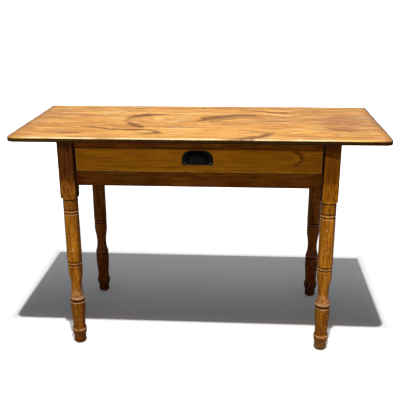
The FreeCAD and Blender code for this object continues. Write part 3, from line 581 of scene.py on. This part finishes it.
def knot_figure(wood, axes, colour, face):
    """A dark crescent where the grain turns round a knot, with paler wood inside it."""
    wander = wood.grain(axes, (70, 110, 110))
    upright = [(x, face, z, width) for x, z, width in KNOT_STROKE]
    nearest = wood.add(stroke_distance(wood, wood.position, upright), wood.swing(wander, 0.018))
    hollow = wood.length(wood.offset(wood.position, (KNOT_HOLLOW[0], face, KNOT_HOLLOW[1])))
    hollow = wood.add(hollow, wood.swing(wander, 0.012))
    return wood.tint(
        colour,
        (RUSSET, 0.4, nearest, 0.014, 0.0),
        (AMBER, 0.35, hollow, 0.014, 0.004),
        (MAROON, 0.75, nearest, 0.0036, -0.001),
    )


def drawer_front_finish():
    """The drawer front: finer and yellower, with arrises worn and painted light as a highlight along
    three sides, and painted shadow of the overhang along its top.
    """
    low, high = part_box("drawer_front")
    wood, axes, colour, rings, fibre = stained_wood(
        "drawer_front_finish", "X", (0.03, 0.6), (0.0, 0.02), 11.0, (OCHRE, CHESTNUT), 0.35,
        streak_width=0.009
    )
    x, _, z = axes
    broad = wood.grain(axes, (5, 30, 30), seed=16.0)
    lines = wood.grain(axes, (10, 190, 190), seed=18.0)
    flecks = wood.grain(axes, (60, 220, 220), detail=2.0, seed=19.0)
    colour = wood.tint(
        colour,
        (AMBER, 0.28, broad, 0.46, 0.7),
        (UMBER, 0.52, lines, 0.5, 0.64),
        (UMBER, 0.34, x, -0.1, 0.4),
        (MAROON, 0.7, flecks, 0.64, 0.76),
    )
    colour = knot_figure(wood, axes, colour, low.y)
    from_side = wood.minus(high.x, wood.absolute(x))
    from_foot = wood.add(wood.minus(z, low.z), 0.0006)
    chips = wood.grain(axes, (40, 120, 120))
    worn_lit_side = wood.times(wood.step(from_side, 0.0046, 0.0018), 0.36)
    worn_lit_foot = wood.times(wood.steps((from_foot, 0.0042, 0.0018), (chips, 0.38, 0.58)), 0.34)
    colour = wood.tint(colour, (STRAW, 1.0, wood.larger(worn_lit_side, worn_lit_foot)),
                       # Painted shadow of the top's overhang along the drawer's top.
                       (MAROON, 0.55, wood.minus(high.z, z), 0.008, 0.001))
    return finish_stained(wood, colour, rings, fibre)


# Tints of a turned leg: lowest and highest place, tint, and strength.
TURNING_TINTS = [
    (-0.01, RING - 0.012, UMBER, 0.32),
    (BEAD + GROOVE_OFFSET, BLOCK_FOOT, MAROON, 0.7),
    (FOOT_RING + 0.009, COLLAR_GROOVE, UMBER, 0.62),
    (0.0405, 0.052, RUSSET, 0.6),
    (-0.005, 0.04, RUSSET, 0.55),
    (-0.01, 0.014, MAROON, 0.7),
]
# Places of a turned leg that are rubbed bare and painted light as a highlight: height, half width
# and strength.
BARE_LIT_RINGS = [
    (COLLAR_GROOVE + 0.01, 0.003, 0.75),
    (COLLAR_GROOVE + 0.028, 0.014, 0.24),
    (COLLAR_GROOVE - 0.0066, 0.0009, 0.85),
    (RING, 0.0006, 0.5),
    (RING - 0.0105, 0.0004, 0.25),
    (BEAD, 0.0007, 0.45),
    (BEAD - 0.0105, 0.0005, 0.5),
    (FOOT_RING + 0.006, 0.001, 0.75),
    (FOOT_RING - 0.001, 0.0045, 0.12),
]
# Grooves darkened with dirt and painted shade: height and half width.
DIRTY_SHADED_GROOVES = [
    (SHOULDER_GROOVE, 0.0014),
    (BEAD - GROOVE_OFFSET, 0.0014), (BEAD + GROOVE_OFFSET, 0.0014),
    (RING - GROOVE_OFFSET, 0.0014), (RING + GROOVE_OFFSET, 0.0014),
    (COLLAR_GROOVE, 0.003),
    (FOOT_RING - 0.0085, 0.001),
]
RING_SOFTNESS = 0.0014
GROOVE_SOFTNESS = 0.0012
# Heights between which a leg's finish changes.
BLOCK_HEAD_SHADE = (0.695, 0.733)
BLOCK_WEAR = (0.65, 0.565)
BLOCK_LINES = (0.64, 0.56)
BLOCK_SPECKS = (0.615, 0.57)
BESIDE_RAIL = (0.585, 0.6)
BLOCK_CORNER = (0.53, 0.545)
BACK_LEG_DARKER = (0.3, 0.16)
LOW_SPECKS = (0.235, 0.2)
SHADED_FOOT = (0.054, 0.047)
DUSTY_FOOT = (0.042, 0.03)
SCUFFED_FOOT = (0.009, 0.003)
# Distances from a leg's inner face between which painted shade fades, beside the rail and under it.
WIDE_INNER_SHADE = (0.0032, 0.0012)
THIN_INNER_SHADE = (0.0012, 0.0004)


def turned_finish(wood, axes, centre, rings, patch, speckle, seed, tone, wear):
    """The colour of a leg's turning: streaked, crazed, darker in its rings, and with painted shade
    at its sides.
    """
    z = axes[0]
    crackle = wood.grain(axes, (230, 60, 60), detail=2.0, roughness=0.6, seed=seed + 6)
    grain = wood.grain(axes, (14, 210, 210), detail=2.0, seed=seed + 8)
    crazed = wood.step(wood.noise(wood.scaled(wood.position, (14, 14, 14)), 2.0, 0.5, seed),
                       0.42, 0.6)
    light, dark = tone
    bulb = wood.times(
        wood.steps((z, COLLAR_GROOVE, COLLAR_GROOVE - 0.006),
                   (z, FOOT_RING + 0.006, FOOT_RING + 0.012)),
        wood.step(grain, 0.47, 0.38))
    turned = wood.tint(
        wood.mix(wood.step(patch, 0.38, 0.6), dark, light),
        (dark, 0.45, rings),
        (RUSSET, 0.72, grain, 0.5, 0.62),
        (MAROON, 0.7, bulb),
    )
    uneven = wood.total(0.55, (wood.step(patch, 0.66, 0.4), 0.45))
    for low, high, tone, strength in TURNING_TINTS:
        inside = wood.steps((z, low - 0.003, low + 0.003), (z, high + 0.005, high - 0.005))
        turned = wood.tint(turned, (tone, strength, wood.times(inside, uneven)))
    pale = wood.times(wood.step(crackle, 0.56, 0.68), wood.total(0.3, (crazed, 0.7)))
    dim = wood.times(wood.step(crackle, 0.44, 0.32), wood.total(0.35, (crazed, 0.65)))
    from_axis = wood.scaled(wood.offset(wood.position, (centre.x, centre.y, 0)), (1, 1, 0))
    side = wood.split(wood.vector_math("NORMALIZE", from_axis))[0]
    return wood.tint(
        turned,
        (STRAW, 0.55 * wear, pale),
        (MAROON, 0.85, dim),
        (STRAW, 0.55 * wear, speckle, 0.59, 0.7),
        (MAROON, 0.75, speckle, 0.45, 0.34),
        # Painted shade at the leg's sides.
        (MOSS, 0.6, side, -0.55, -0.95),
        (MAROON, 0.75, side, 0.5, 0.92),
    )


def darken_above_line(wood, axes, colour, ends, seed):
    """A leg's block, darker above a slanting line between two places, with a hatched edge."""
    z, x, y = axes
    (x0, z0), (x1, z1) = ends
    slope = (z1 - z0) / (x1 - x0)
    over = wood.add(z, -z0, wood.times(wood.add(x, -x0), -slope))
    hatch = wood.grain((over, x, y), (260, 30, 30), detail=2.0, seed=seed)
    dark = wood.times(wood.step(over, -0.003, 0.001),
                      wood.total(0.6, (wood.step(hatch, 0.4, 0.58), 0.4)))
    return wood.tint(colour, (shade(0.7, MAROON), 0.88, dark))


def leg_finish(name, seed, block_tone, turned_tone, wear, dusty=0.0, flecks=(), dark_line_ends=None):
    """A leg: dark block, lighter worn turning, dirt and painted shade in its grooves, dust on its
    foot, painted shade under the top, on its inner face and at its foot, and painted highlights on
    its rings and flecks.
    """
    low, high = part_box(name)
    centre = (low + high) / 2
    inner_face = abs(centre.x) - (high.x - low.x) / 2
    wood, axes, colour, rings, fibre = stained_wood(
        name + "_finish", "Z", (centre.x + 0.045, centre.y + 0.03), (0.01, -0.008), seed,
        block_tone, streak_width=0.007
    )
    z, x, y = axes
    speckle = wood.grain(axes, (150, 260, 260), roughness=0.7, seed=seed)
    patch = wood.grain(axes, (10, 48, 48), seed=seed + 5)
    crumbs = wood.grain(axes, (190, 190, 190), detail=2.0, seed=seed + 7)
    upright = wood.grain(axes, (45, 240, 240), detail=2.0, seed=seed + 9)
    turned = turned_finish(wood, axes, centre, rings, patch, speckle, seed, turned_tone, wear)

    colour = wood.tint(
        colour,
        # Painted shadow of the top on the head of the block.
        (SOOT, 0.8, z, *BLOCK_HEAD_SHADE),
        (AMBER, 0.55 * wear, wood.steps((z, *BLOCK_WEAR), (upright, 0.38, 0.6))),
        (MAROON, 0.55, wood.steps((z, *BLOCK_LINES), (upright, 0.45, 0.34))),
        (STRAW, 0.45 * dusty, wood.steps((z, *BLOCK_SPECKS), (speckle, 0.62, 0.72))),
    )
    if dark_line_ends:
        colour = darken_above_line(wood, axes, colour, dark_line_ends, seed)
    below = wood.step(wood.total(z, (patch, 0.01)), SHOULDER_TOP + 0.001, BLOCK_FOOT)
    colour = wood.mix(below, colour, turned)

    # Painted shade on the block's inner face beside the drawer and the rail.
    from_inner = wood.minus(wood.absolute(x), inner_face)
    inner_shade = wood.larger(wood.steps((from_inner, *WIDE_INNER_SHADE), (z, *BESIDE_RAIL)),
                        wood.steps((from_inner, *THIN_INNER_SHADE), (z, *BLOCK_CORNER)))
    height = wood.add(z, wood.swing(crumbs, 0.003))
    bare_and_highlight = groove_dirt_and_shade = 0.0
    # Rubbed bare rings, with a painted highlight.
    for ring, half_width, strength in BARE_LIT_RINGS:
        band = wood.band(height, ring, half_width, RING_SOFTNESS)
        bare_and_highlight = wood.larger(bare_and_highlight, wood.times(band, strength * wear))
    # Dirt and painted shade in the grooves.
    for groove, half_width in DIRTY_SHADED_GROOVES:
        groove_dirt_and_shade = wood.larger(groove_dirt_and_shade, wood.band(z, groove, half_width, GROOVE_SOFTNESS))
    colour = wood.tint(
        colour,
        (SOOT, 0.9, inner_shade),
        (LIP, bare_and_highlight, crumbs, 0.34, 0.54),
        (SOOT, 0.9, groove_dirt_and_shade),
        (DUST, 0.45 * dusty, wood.steps((z, *DUSTY_FOOT), (crumbs, 0.2, 0.85))),
        (LIP, 0.55 * dusty, wood.steps((height, *SCUFFED_FOOT), (crumbs, 0.46, 0.6))),
    )
    # The foot darkened as painted shade near the floor.
    at_foot = wood.times(wood.step(height, *SHADED_FOOT), 0.95 - 0.45 * dusty)
    colour = wood.mix(at_foot, colour, FOOT_SHADE, "MULTIPLY")
    # Back legs: darker towards the floor.
    if wear < 0.5:
        lower = wood.step(z, *BACK_LEG_DARKER)
        colour = wood.tint(
            wood.mix(lower, colour, BACK_LEG_DARKENING, "MULTIPLY"),
            (CHESTNUT, 0.6, wood.times(lower, wood.step(upright, 0.52, 0.64))),
            (SOOT, 0.75, wood.times(lower, wood.step(upright, 0.48, 0.36))),
        )
    # Pale flecks on the front: chips with a painted highlight.
    for across, up, radius in flecks:
        offset = wood.offset(wood.position, (centre.x + across, low.y, up))
        reach = wood.length(wood.scaled(offset, (1, 0, 1)))
        in_front = wood.step(y, centre.y, centre.y - 0.01)
        colour = wood.tint(colour, (LIP, in_front, reach, radius, radius * 0.4))
    specks = wood.steps((crumbs, 0.46, 0.36), (z, *LOW_SPECKS))
    colour = wood.tint(colour, (MAROON, 0.65, specks))
    return finish_stained(wood, colour, rings, fibre, inner_shade)


def bare_wood(name, along, pith, seed):
    """Unfinished aged pine of the pieces inside."""
    wood = Shader(name)
    axes = grain_axes(wood, along)
    rings = growth_rings(wood, axes, pith, (0.02, -0.01), BARE_WOOD_RINGS, seed)
    fibre = fibres(wood, axes, seed)
    streak = streaks(wood, axes, seed, 0.025)
    colour = wood.mix(wood.step(streak, 0.3, 0.75), BARE_LATEWOOD, BARE_PINE)
    colour = wood.tint(colour, (BARE_LATEWOOD, 0.45, rings), (UMBER, 0.3, fibre, 0.55, 0.8))
    height = wood.total(fibre, (rings, 0.5))
    return wood.finish(colour, wood.total(0.6, (fibre, 0.2)), height, bump_depth=0.0003,
                       Specular_IOR_Level=0.25)


# ---- metal


def cast_iron(name, plain, worn):
    """Black japanned casting: pitted, with its high places rubbed."""
    shader = Shader(name)
    pits = shader.noise(shader.scaled(shader.position, (600, 600, 600)), detail=4.0)
    rubbed = shader.noise(shader.scaled(shader.position, (70, 70, 70)))
    colour = shader.mix(shader.step(rubbed, 0.5, 0.75), plain, worn)
    return shader.finish(colour, shader.total(0.34, (pits, 0.25)), pits, bump_depth=0.0003,
                         Specular_IOR_Level=0.03)


def old_steel():
    """Darkened screws and nails."""
    shader = Shader("old_steel")
    rust = shader.noise(shader.scaled(shader.position, (350, 350, 350)), detail=4.0)
    colour = shader.mix(shader.step(rust, 0.45, 0.7), STEEL, SOOT)
    return shader.finish(colour, shader.total(0.35, (rust, 0.3)), rust, bump_depth=0.0001,
                         Metallic=0.4)


# ---- worn boards of the top

# Distances in from an edge at which a board's mesh has a line of points.
FREE_STEPS = (0, 0.0003, 0.001, 0.002, 0.0032, 0.0046, 0.0064, 0.009, 0.013, 0.018)
JOINT_STEPS = (0, 0.0003, 0.0009, 0.003)
LENGTH_PITCH = 0.0055
WIDTH_PITCH = 0.012
JOINT_INSET = 0.0001
TOP_ARRIS = 0.004
UNDER_ARRIS = 0.0015
JOINT_ARRIS = 0.0007


def stations(low, high, low_steps, high_steps, pitch):
    """Places from low to high: close together at both ends, and about a pitch apart between."""
    first = [low + step for step in low_steps]
    last = [high - step for step in reversed(high_steps)]
    count = round((last[0] - first[-1]) / pitch)
    between = [first[-1] + (last[0] - first[-1]) * index / count for index in range(1, count)]
    return first + between + last


def rounded_place(x, y):
    """A place moved into the round-cornered plan, and how far inside its outline it lies."""
    radius = FRONT_CORNER if y < 0 else BACK_CORNER
    centre_x, centre_y = HALF_LENGTH - radius, HALF_DEPTH - radius
    over_x, over_y = abs(x) - centre_x, abs(y) - centre_y
    if over_x <= 0 or over_y <= 0:
        return x, y, min(HALF_LENGTH - abs(x), HALF_DEPTH - abs(y))
    reach = max(over_x, over_y)
    shrink = reach / math.hypot(over_x, over_y)
    return (math.copysign(centre_x + over_x * shrink, x),
            math.copysign(centre_y + over_y * shrink, y), radius - reach)


def arris_fall(inside, radius):
    """How far a rounded arris lies below its face, at a distance in from its edge."""
    to_centre = radius - max(inside, 0.0)
    if to_centre <= 0:
        return 0.0
    return radius - math.sqrt(radius ** 2 - to_centre ** 2)


def wave(x, y, scale, seed):
    """Smooth noise from about -1 to 1, with bumps about 1 / scale long."""
    return noise.noise(Vector((x * scale, y * scale, seed)))


def worn_fall(x, y, inside, from_joint):
    """How far the worn surface lies below the flat one: hollows, dents and ragged arrises."""
    hollow = 0.0003 * (1 + wave(x * 0.35, y, 9, 1.0))
    dent = 0.0012 * max(0.0, wave(x, y, 34, 2.0) - 0.42)
    chip = 0.011 * max(0.0, wave(x, y, 42, 3.0) - 0.34)
    arris = TOP_ARRIS * (1 + 0.45 * wave(x, y, 16, 4.0)) + chip
    joint = JOINT_ARRIS * (1 + 0.8 * wave(x, y, 20, 5.0))
    return hollow + dent + max(arris_fall(inside, arris), arris_fall(from_joint, joint))


def board_face(mesh, places, height, turn):
    """One face of a board as a grid of points, and the loop of points round its outside."""
    grid = [[mesh.verts.new((x, y, height(x, y, inside, from_joint)))
             for x, y, inside, from_joint in row] for row in places]
    for near, far in zip(grid, grid[1:]):
        for corners in zip(near, near[1:], far[1:], far):
            mesh.faces.new(corners if turn > 0 else reversed(corners))
    right = [row[-1] for row in grid[1:-1]]
    left = [row[0] for row in reversed(grid[1:-1])]
    return grid[0] + right + grid[-1][::-1] + left


def worn_board(node, name, front_steps, back_steps, material):
    """A board of the top in place of its plain one, hollowed, dented and ragged at its arrises."""
    low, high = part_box(node)
    front = low.y + (JOINT_INSET if front_steps is JOINT_STEPS else 0)
    back = high.y - (JOINT_INSET if back_steps is JOINT_STEPS else 0)
    joints = [edge for edge, steps in ((front, front_steps), (back, back_steps))
              if steps is JOINT_STEPS]
    along = stations(low.x, high.x, FREE_STEPS, FREE_STEPS, LENGTH_PITCH)
    across = stations(front, back, front_steps, back_steps, WIDTH_PITCH)
    places = [[(*rounded_place(x, y), min(abs(y - joint) for joint in joints)) for x in along]
              for y in across]
    mesh = bmesh.new()
    upper = board_face(mesh, places, lambda *at: high.z - worn_fall(*at), 1)
    lower = board_face(mesh, places, lambda *at: low.z + arris_fall(min(at[2:]), UNDER_ARRIS),
                       -1)
    for index in range(len(upper)):
        mesh.faces.new((upper[index], lower[index], lower[index - 1], upper[index - 1]))
    return finished_piece(mesh, name, material, "table", node)


# ---- relief and screws of the pull

SCROLL_SIDES = 8
SCROLL_POINTS = 26
SCREW_SEGMENTS = 32
SCREW_HEAD = 0.0042
SLOT_SIZE = (0.012, 0.0024, 0.001)
RELIEF_LIFT = 0.02
RELIEF_INSET = 0.0002


def add_tube(mesh, points, radii):
    """A closed rounded rod whose centre line lies in an upright plane that faces -Y."""
    rings = []
    for index, (point, radius) in enumerate(zip(points, radii)):
        ahead = points[min(index + 1, len(points) - 1)] - points[max(index - 1, 0)]
        side = Vector((-ahead.z, 0, ahead.x)).normalized()
        turns = [math.tau * step / SCROLL_SIDES for step in range(SCROLL_SIDES)]
        rings.append([mesh.verts.new(point + side * radius * math.cos(turn)
                                     + Vector((0, radius * math.sin(turn), 0)))
                      for turn in turns])
    for near, far in zip(rings, rings[1:]):
        for step in range(SCROLL_SIDES):
            mesh.faces.new((near[step - 1], near[step], far[step], far[step - 1]))
    mesh.faces.new(rings[0])
    mesh.faces.new(reversed(rings[-1]))


def scroll_points(centre, start_radius, end_radius, start_turn, end_turn, mirror):
    """A C-scroll: part of a spiral about a centre, turned left for right where mirror is -1."""
    points = []
    for step in range(SCROLL_POINTS):
        share = step / (SCROLL_POINTS - 1)
        turn = start_turn + (end_turn - start_turn) * share
        radius = start_radius + (end_radius - start_radius) * share
        points.append(Vector((mirror * (centre[0] + radius * math.cos(turn)), centre[1],
                              centre[2] + radius * math.sin(turn))))
    return points


def tapered(thick, thin):
    """Radii of a scroll that swells in its middle and thins to its ends."""
    return [thin + (thick - thin) * math.sin(math.pi * step / (SCROLL_POINTS - 1))
            for step in range(SCROLL_POINTS)]


def pull_relief(material):
    """Traditional C-scrolls and a row of beads, cast on the front of the pull's hood."""
    low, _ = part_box("drawer_pull")
    face = low.y + RELIEF_INSET
    middle = low.z + RELIEF_LIFT
    mesh = bmesh.new()
    for mirror in (-1, 1):
        for x, rise, wide, narrow, start, end in (
            (0.0105, 0.001, 0.0074, 0.0018, -0.35 * math.pi, 1.45 * math.pi),
            (0.0185, -0.0045, 0.0036, 0.0014, 1.1 * math.pi, -0.55 * math.pi),
            (0.0175, 0.006, 0.003, 0.0012, -1.05 * math.pi, 0.5 * math.pi),
        ):
            points = scroll_points((x, face, middle + rise), wide, narrow, start, end, mirror)
            add_tube(mesh, points, tapered(0.00095, 0.00035))
    for index in range(-6, 7):
        place = (index * 0.0034, face, middle - 0.0095)
        bead = bmesh.ops.create_icosphere(mesh, subdivisions=2, radius=0.0009)["verts"]
        bmesh.ops.translate(mesh, verts=bead, vec=place)
    return finished_piece(mesh, "pull_relief", material, "drawer")


def screw_profile(head, dome, shank, length):
    """Half outline of a round-headed screw: distance from its axis and place along it."""
    ball = (head ** 2 + dome ** 2) / (2 * dome)
    rise = [(ball * math.sin(turn), ball * (1 - math.cos(turn)))
            for turn in [math.asin(head / ball) * step / 8 for step in range(1, 9)]]
    return [(0, 0), *rise, (shank, dome), (shank, length * 0.75), (0, length)]


def in_fixed_order(mesh):
    """The mesh with its points and faces sorted, because a boolean gives them in any order."""
    order = sorted(range(len(mesh.vertices)), key=lambda index: tuple(mesh.vertices[index].co))
    loops = [[order.index(index) for index in face.vertices] for face in mesh.polygons]
    loops = sorted(loop[loop.index(min(loop)):] + loop[:loop.index(min(loop))] for loop in loops)
    ordered = bpy.data.meshes.new(mesh.name)
    ordered.from_pydata([mesh.vertices[index].co for index in order], [], loops)
    return ordered


def slotted_screw(name, place, turn):
    """A round-headed screw along Y, its head towards -Y and cut across by its slot."""
    mesh = bmesh.new()
    profile = screw_profile(SCREW_HEAD, dome=0.0022, shank=0.0018, length=0.019)
    rim = [mesh.verts.new((radius, along, 0)) for radius, along in profile]
    edges = [mesh.edges.new(pair) for pair in zip(rim, rim[1:])]
    bmesh.ops.spin(mesh, geom=rim + edges, axis=(0, 1, 0), cent=(0, 0, 0), dvec=(0, 0, 0),
                   angle=math.tau, steps=SCREW_SEGMENTS)
    bmesh.ops.remove_doubles(mesh, verts=mesh.verts, dist=0.00001)
    bmesh.ops.recalc_face_normals(mesh, faces=mesh.faces)
    screw = linked(name, mesh_data(mesh, name))

    blade = bmesh.new()
    bmesh.ops.create_cube(blade, size=1)
    bmesh.ops.scale(blade, verts=blade.verts, vec=SLOT_SIZE)
    slot = linked(name + "_slot", mesh_data(blade, name + "_slot"))
    slot.rotation_euler = (0, turn, 0)
    cut = screw.modifiers.new("slot", "BOOLEAN")
    cut.operation = "DIFFERENCE"
    cut.object = slot
    bpy.context.view_layer.update()
    evaluated = screw.evaluated_get(bpy.context.evaluated_depsgraph_get())
    result = in_fixed_order(bpy.data.meshes.new_from_object(evaluated))
    bpy.data.objects.remove(screw)
    bpy.data.objects.remove(slot)
    result.transform(Matrix.Translation(place))
    return result


def pull_screws(material):
    """The pull's two slotted screws, in place of the plain ones."""
    low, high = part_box("pull_screws")
    mesh = bmesh.new()
    for side, turn in ((low.x + SCREW_HEAD, 0.5), (high.x - SCREW_HEAD, -0.9)):
        mesh.from_mesh(slotted_screw("screw", (side, low.y, (low.z + high.z) / 2), turn))
    return finished_piece(mesh, "slotted_pull_screws", material, "drawer",
                          "pull_screws", smooth=False)


# ---- pieces and finishes together


def finished_piece(mesh, name, material, body, node=None, smooth=True):
    """Turns mesh code into a piece that rides on a body and may stand for a CAD node."""
    bmesh.ops.recalc_face_normals(mesh, faces=mesh.faces)
    for face in mesh.faces:
        face.smooth = smooth
    data = mesh_data(mesh, name)
    data.materials.append(material)
    piece = linked(name, data)
    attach(piece, body)
    if node:
        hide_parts(node)
    return piece


def paint(material, *nodes):
    for name in nodes:
        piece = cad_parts[name]
        piece.data.materials.clear()
        piece.data.materials.append(material)


def make_top():
    for node, name, front_steps, back_steps, pith, lean, seed in (
        ("top_front_board", "worn_front_board", FREE_STEPS, JOINT_STEPS,
         (-0.15, 0.64), (0.012, 0.03), 1.0),
        ("top_middle_board", "worn_middle_board", JOINT_STEPS, JOINT_STEPS,
         (0.06, 0.66), (-0.015, -0.025), 2.0),
        ("top_back_board", "worn_back_board", JOINT_STEPS, FREE_STEPS,
         (0.19, 0.62), (0.01, 0.035), 3.0),
    ):
        low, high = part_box(node)
        material = worn_top(name + "_finish", (low.y, high.y), pith, lean, seed)
        paint(material, node)
        worn_board(node, name, front_steps, back_steps, material)


def paint_wood():
    paint(drawer_front_finish(), "drawer_front")
    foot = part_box("front_bottom_rail")[0].z
    paint(rail_finish("bottom_rail_finish", "X", (-0.2, 0.5), 21.0, foot), "front_bottom_rail")
    paint(rail_finish("rail_finish", "X", (-0.2, 0.5), 22.0), "front_top_rail", "back_apron")
    paint(rail_finish("end_apron_finish", "Y", (0.2, 0.5), 23.0), "left_apron", "right_apron")
    red_brown = (RUSSET, MAROON)
    brown = (CHESTNUT, shade(1.1, UMBER))
    turned = (shade(1.12, AMBER), CHESTNUT)
    turned_paler = (shade(1.42, AMBER), shade(1.25, CHESTNUT))
    deep = (shade(0.95, UMBER), shade(0.4, MAROON))
    for name, *settings in (
        ("leg_front_left", 31.0, red_brown, turned, 1.0, 0.05,
         ((0.003, 0.3625, 0.0038), (0.001, 0.352, 0.0024))),
        ("leg_front_right", 32.0, brown, turned_paler, 1.0, 0.9,
         ((-0.004, 0.45, 0.0028), (0.004, 0.438, 0.0024)), ((0.401, 0.701), (0.453, 0.687))),
        ("leg_back_left", 33.0, red_brown, deep, 0.2),
        ("leg_back_right", 34.0, red_brown, deep, 0.26, 0.5),
    ):
        paint(leg_finish(name, *settings), name)
    paint(bare_wood("bare_wood_along_table", "X", (0.05, 0.55), 41.0),
          "drawer_back", "drawer_bottom", "drawer_stops", "top_glue_blocks")
    paint(bare_wood("bare_wood_across_table", "Y", (0.3, 0.55), 42.0),
          *(f"drawer_{part}_{side}" for part in ("side", "runner", "guide", "kicker")
            for side in ("left", "right")))


def make_ironwork():
    steel = old_steel()
    paint(cast_iron("cast_iron", IRON, WORN_IRON), "drawer_pull")
    # The relief's paler iron: rubbed, and painted light for the highlights it catches.
    pull_relief(cast_iron("rubbed_highlit_iron", RUBBED_HIGHLIT_IRON, BRIGHT_HIGHLIT_IRON))
    paint(steel, "pull_screws", "top_screws", "bottom_nails")
    pull_screws(steel)


# ---- stage, light and camera


FLOOR_WHITE = (0.97, 0.97, 0.97)
SHADOW_TINT = (0.84, 0.91, 0.97)
GLOW_IN_SHADOW = 0.13
GLOW_BESIDE_SHADOW = 0.32
GLOW_FAR = 1.0
# Distances outside the shadow between which the floor's tint and its glows change.
TINT_FADE = (-0.05, -0.015)
SHADOW_GLOW_FADE = (0.02, -0.02)
BESIDE_FADE = (0.0, 0.045)
FAR_FADE = (0.15, 1.2)


def cast_on_floor(place):
    """Where the key lamp throws a place's shadow on the floor."""
    lamp = Vector(KEY_PLACE)
    ray = Vector(place) - lamp
    return lamp + ray * (lamp.z / -ray.z)


def seen_directly(shader):
    """1 for rays from the camera, in reflections and through glass, 0 for the light's own."""
    rays = shader.node("LightPath").outputs
    seen = shader.larger(rays["Is Camera Ray"], rays["Is Glossy Ray"])
    return shader.larger(seen, rays["Is Transmission Ray"])


def make_floor():
    """A white floor that keeps the table's shadow, with a painted tint and a painted glow in it that
    grows towards the back, and is plain white away from it.
    """
    bpy.ops.mesh.primitive_plane_add(size=40)
    floor = bpy.context.object
    floor.name = "floor"
    shader = Shader("floor_white")
    near = cast_on_floor((-HALF_LENGTH, -HALF_DEPTH, TOP_HIGH.z))
    far = cast_on_floor((HALF_LENGTH, HALF_DEPTH, TOP_HIGH.z))
    centre, half = (near + far) / 2, (far - near) / 2
    x, y, _ = shader.split(shader.offset(shader.position, tuple(centre)))
    outside = shader.larger(shader.minus(shader.absolute(x), half.x),
                            shader.minus(shader.absolute(y), half.y))
    tint = tuple(white * share for white, share in zip(FLOOR_WHITE, SHADOW_TINT))
    colour = shader.mix(shader.step(outside, *TINT_FADE), tint, FLOOR_WHITE)
    # Painted glow inside the shadow, growing towards the back.
    deep = shader.steps((y, -half.y, half.y), (outside, *SHADOW_GLOW_FADE))
    glow_level = shader.total(0.0, (deep, GLOW_IN_SHADOW),
                              (shader.step(outside, *BESIDE_FADE), GLOW_BESIDE_SHADOW),
                              (shader.step(outside, *FAR_FADE), GLOW_FAR))
    glow = shader.node("Emission")
    shader.feed(glow.inputs["Strength"], shader.times(seen_directly(shader), glow_level))
    both = shader.node("AddShader", shader.node("BsdfDiffuse", colour).outputs[0], glow.outputs[0])
    shader.feed(shader.surface, both.outputs[0])
    floor.data.materials.append(shader.owner)


WORLD_FILL = 0.13


def make_world():
    """Even fill light, seen as white by the camera and in reflections."""
    shader = Shader("studio", bpy.data.worlds, "OutputWorld")
    bpy.context.scene.world = shader.owner
    white = shader.total(WORLD_FILL, (seen_directly(shader), 1 - WORLD_FILL))
    background = shader.node("Background", (1.0, 1.0, 1.0), white)
    shader.feed(shader.surface, background.outputs[0])


def add_lamp(name, place, aim, size, power):
    data = bpy.data.lights.new(name, "AREA")
    data.shape = "DISK"
    data.size = size
    data.energy = power
    lamp = linked(name, data)
    lamp.location = place
    lamp.rotation_euler = (Vector(aim) - Vector(place)).to_track_quat("-Z", "Y").to_euler()


def make_light():
    add_lamp("key", KEY_PLACE, aim=(0, 0, 0.4), size=0.09, power=269)
    add_lamp("front_fill", (0.3, -4.2, 1.5), aim=(0, 0, 0.5), size=3.0, power=22)


def make_camera():
    data = bpy.data.cameras.new("camera")
    data.sensor_width = 36
    data.lens = CAMERA_LENS
    data.shift_x, data.shift_y = CAMERA_SHIFT
    camera = linked("camera", data)
    camera.location = CAMERA_PLACE
    turn = (Matrix.Rotation(CAMERA_YAW, 3, "Z") @ Matrix.Rotation(CAMERA_PITCH, 3, "X")
            @ Matrix.Rotation(CAMERA_ROLL, 3, "Z"))
    camera.rotation_euler = turn.to_euler()
    bpy.context.scene.camera = camera


make_camera()
make_top()
paint_wood()
make_ironwork()
make_floor()
make_world()
make_light()
bpy.context.scene.view_settings.view_transform = "Standard"
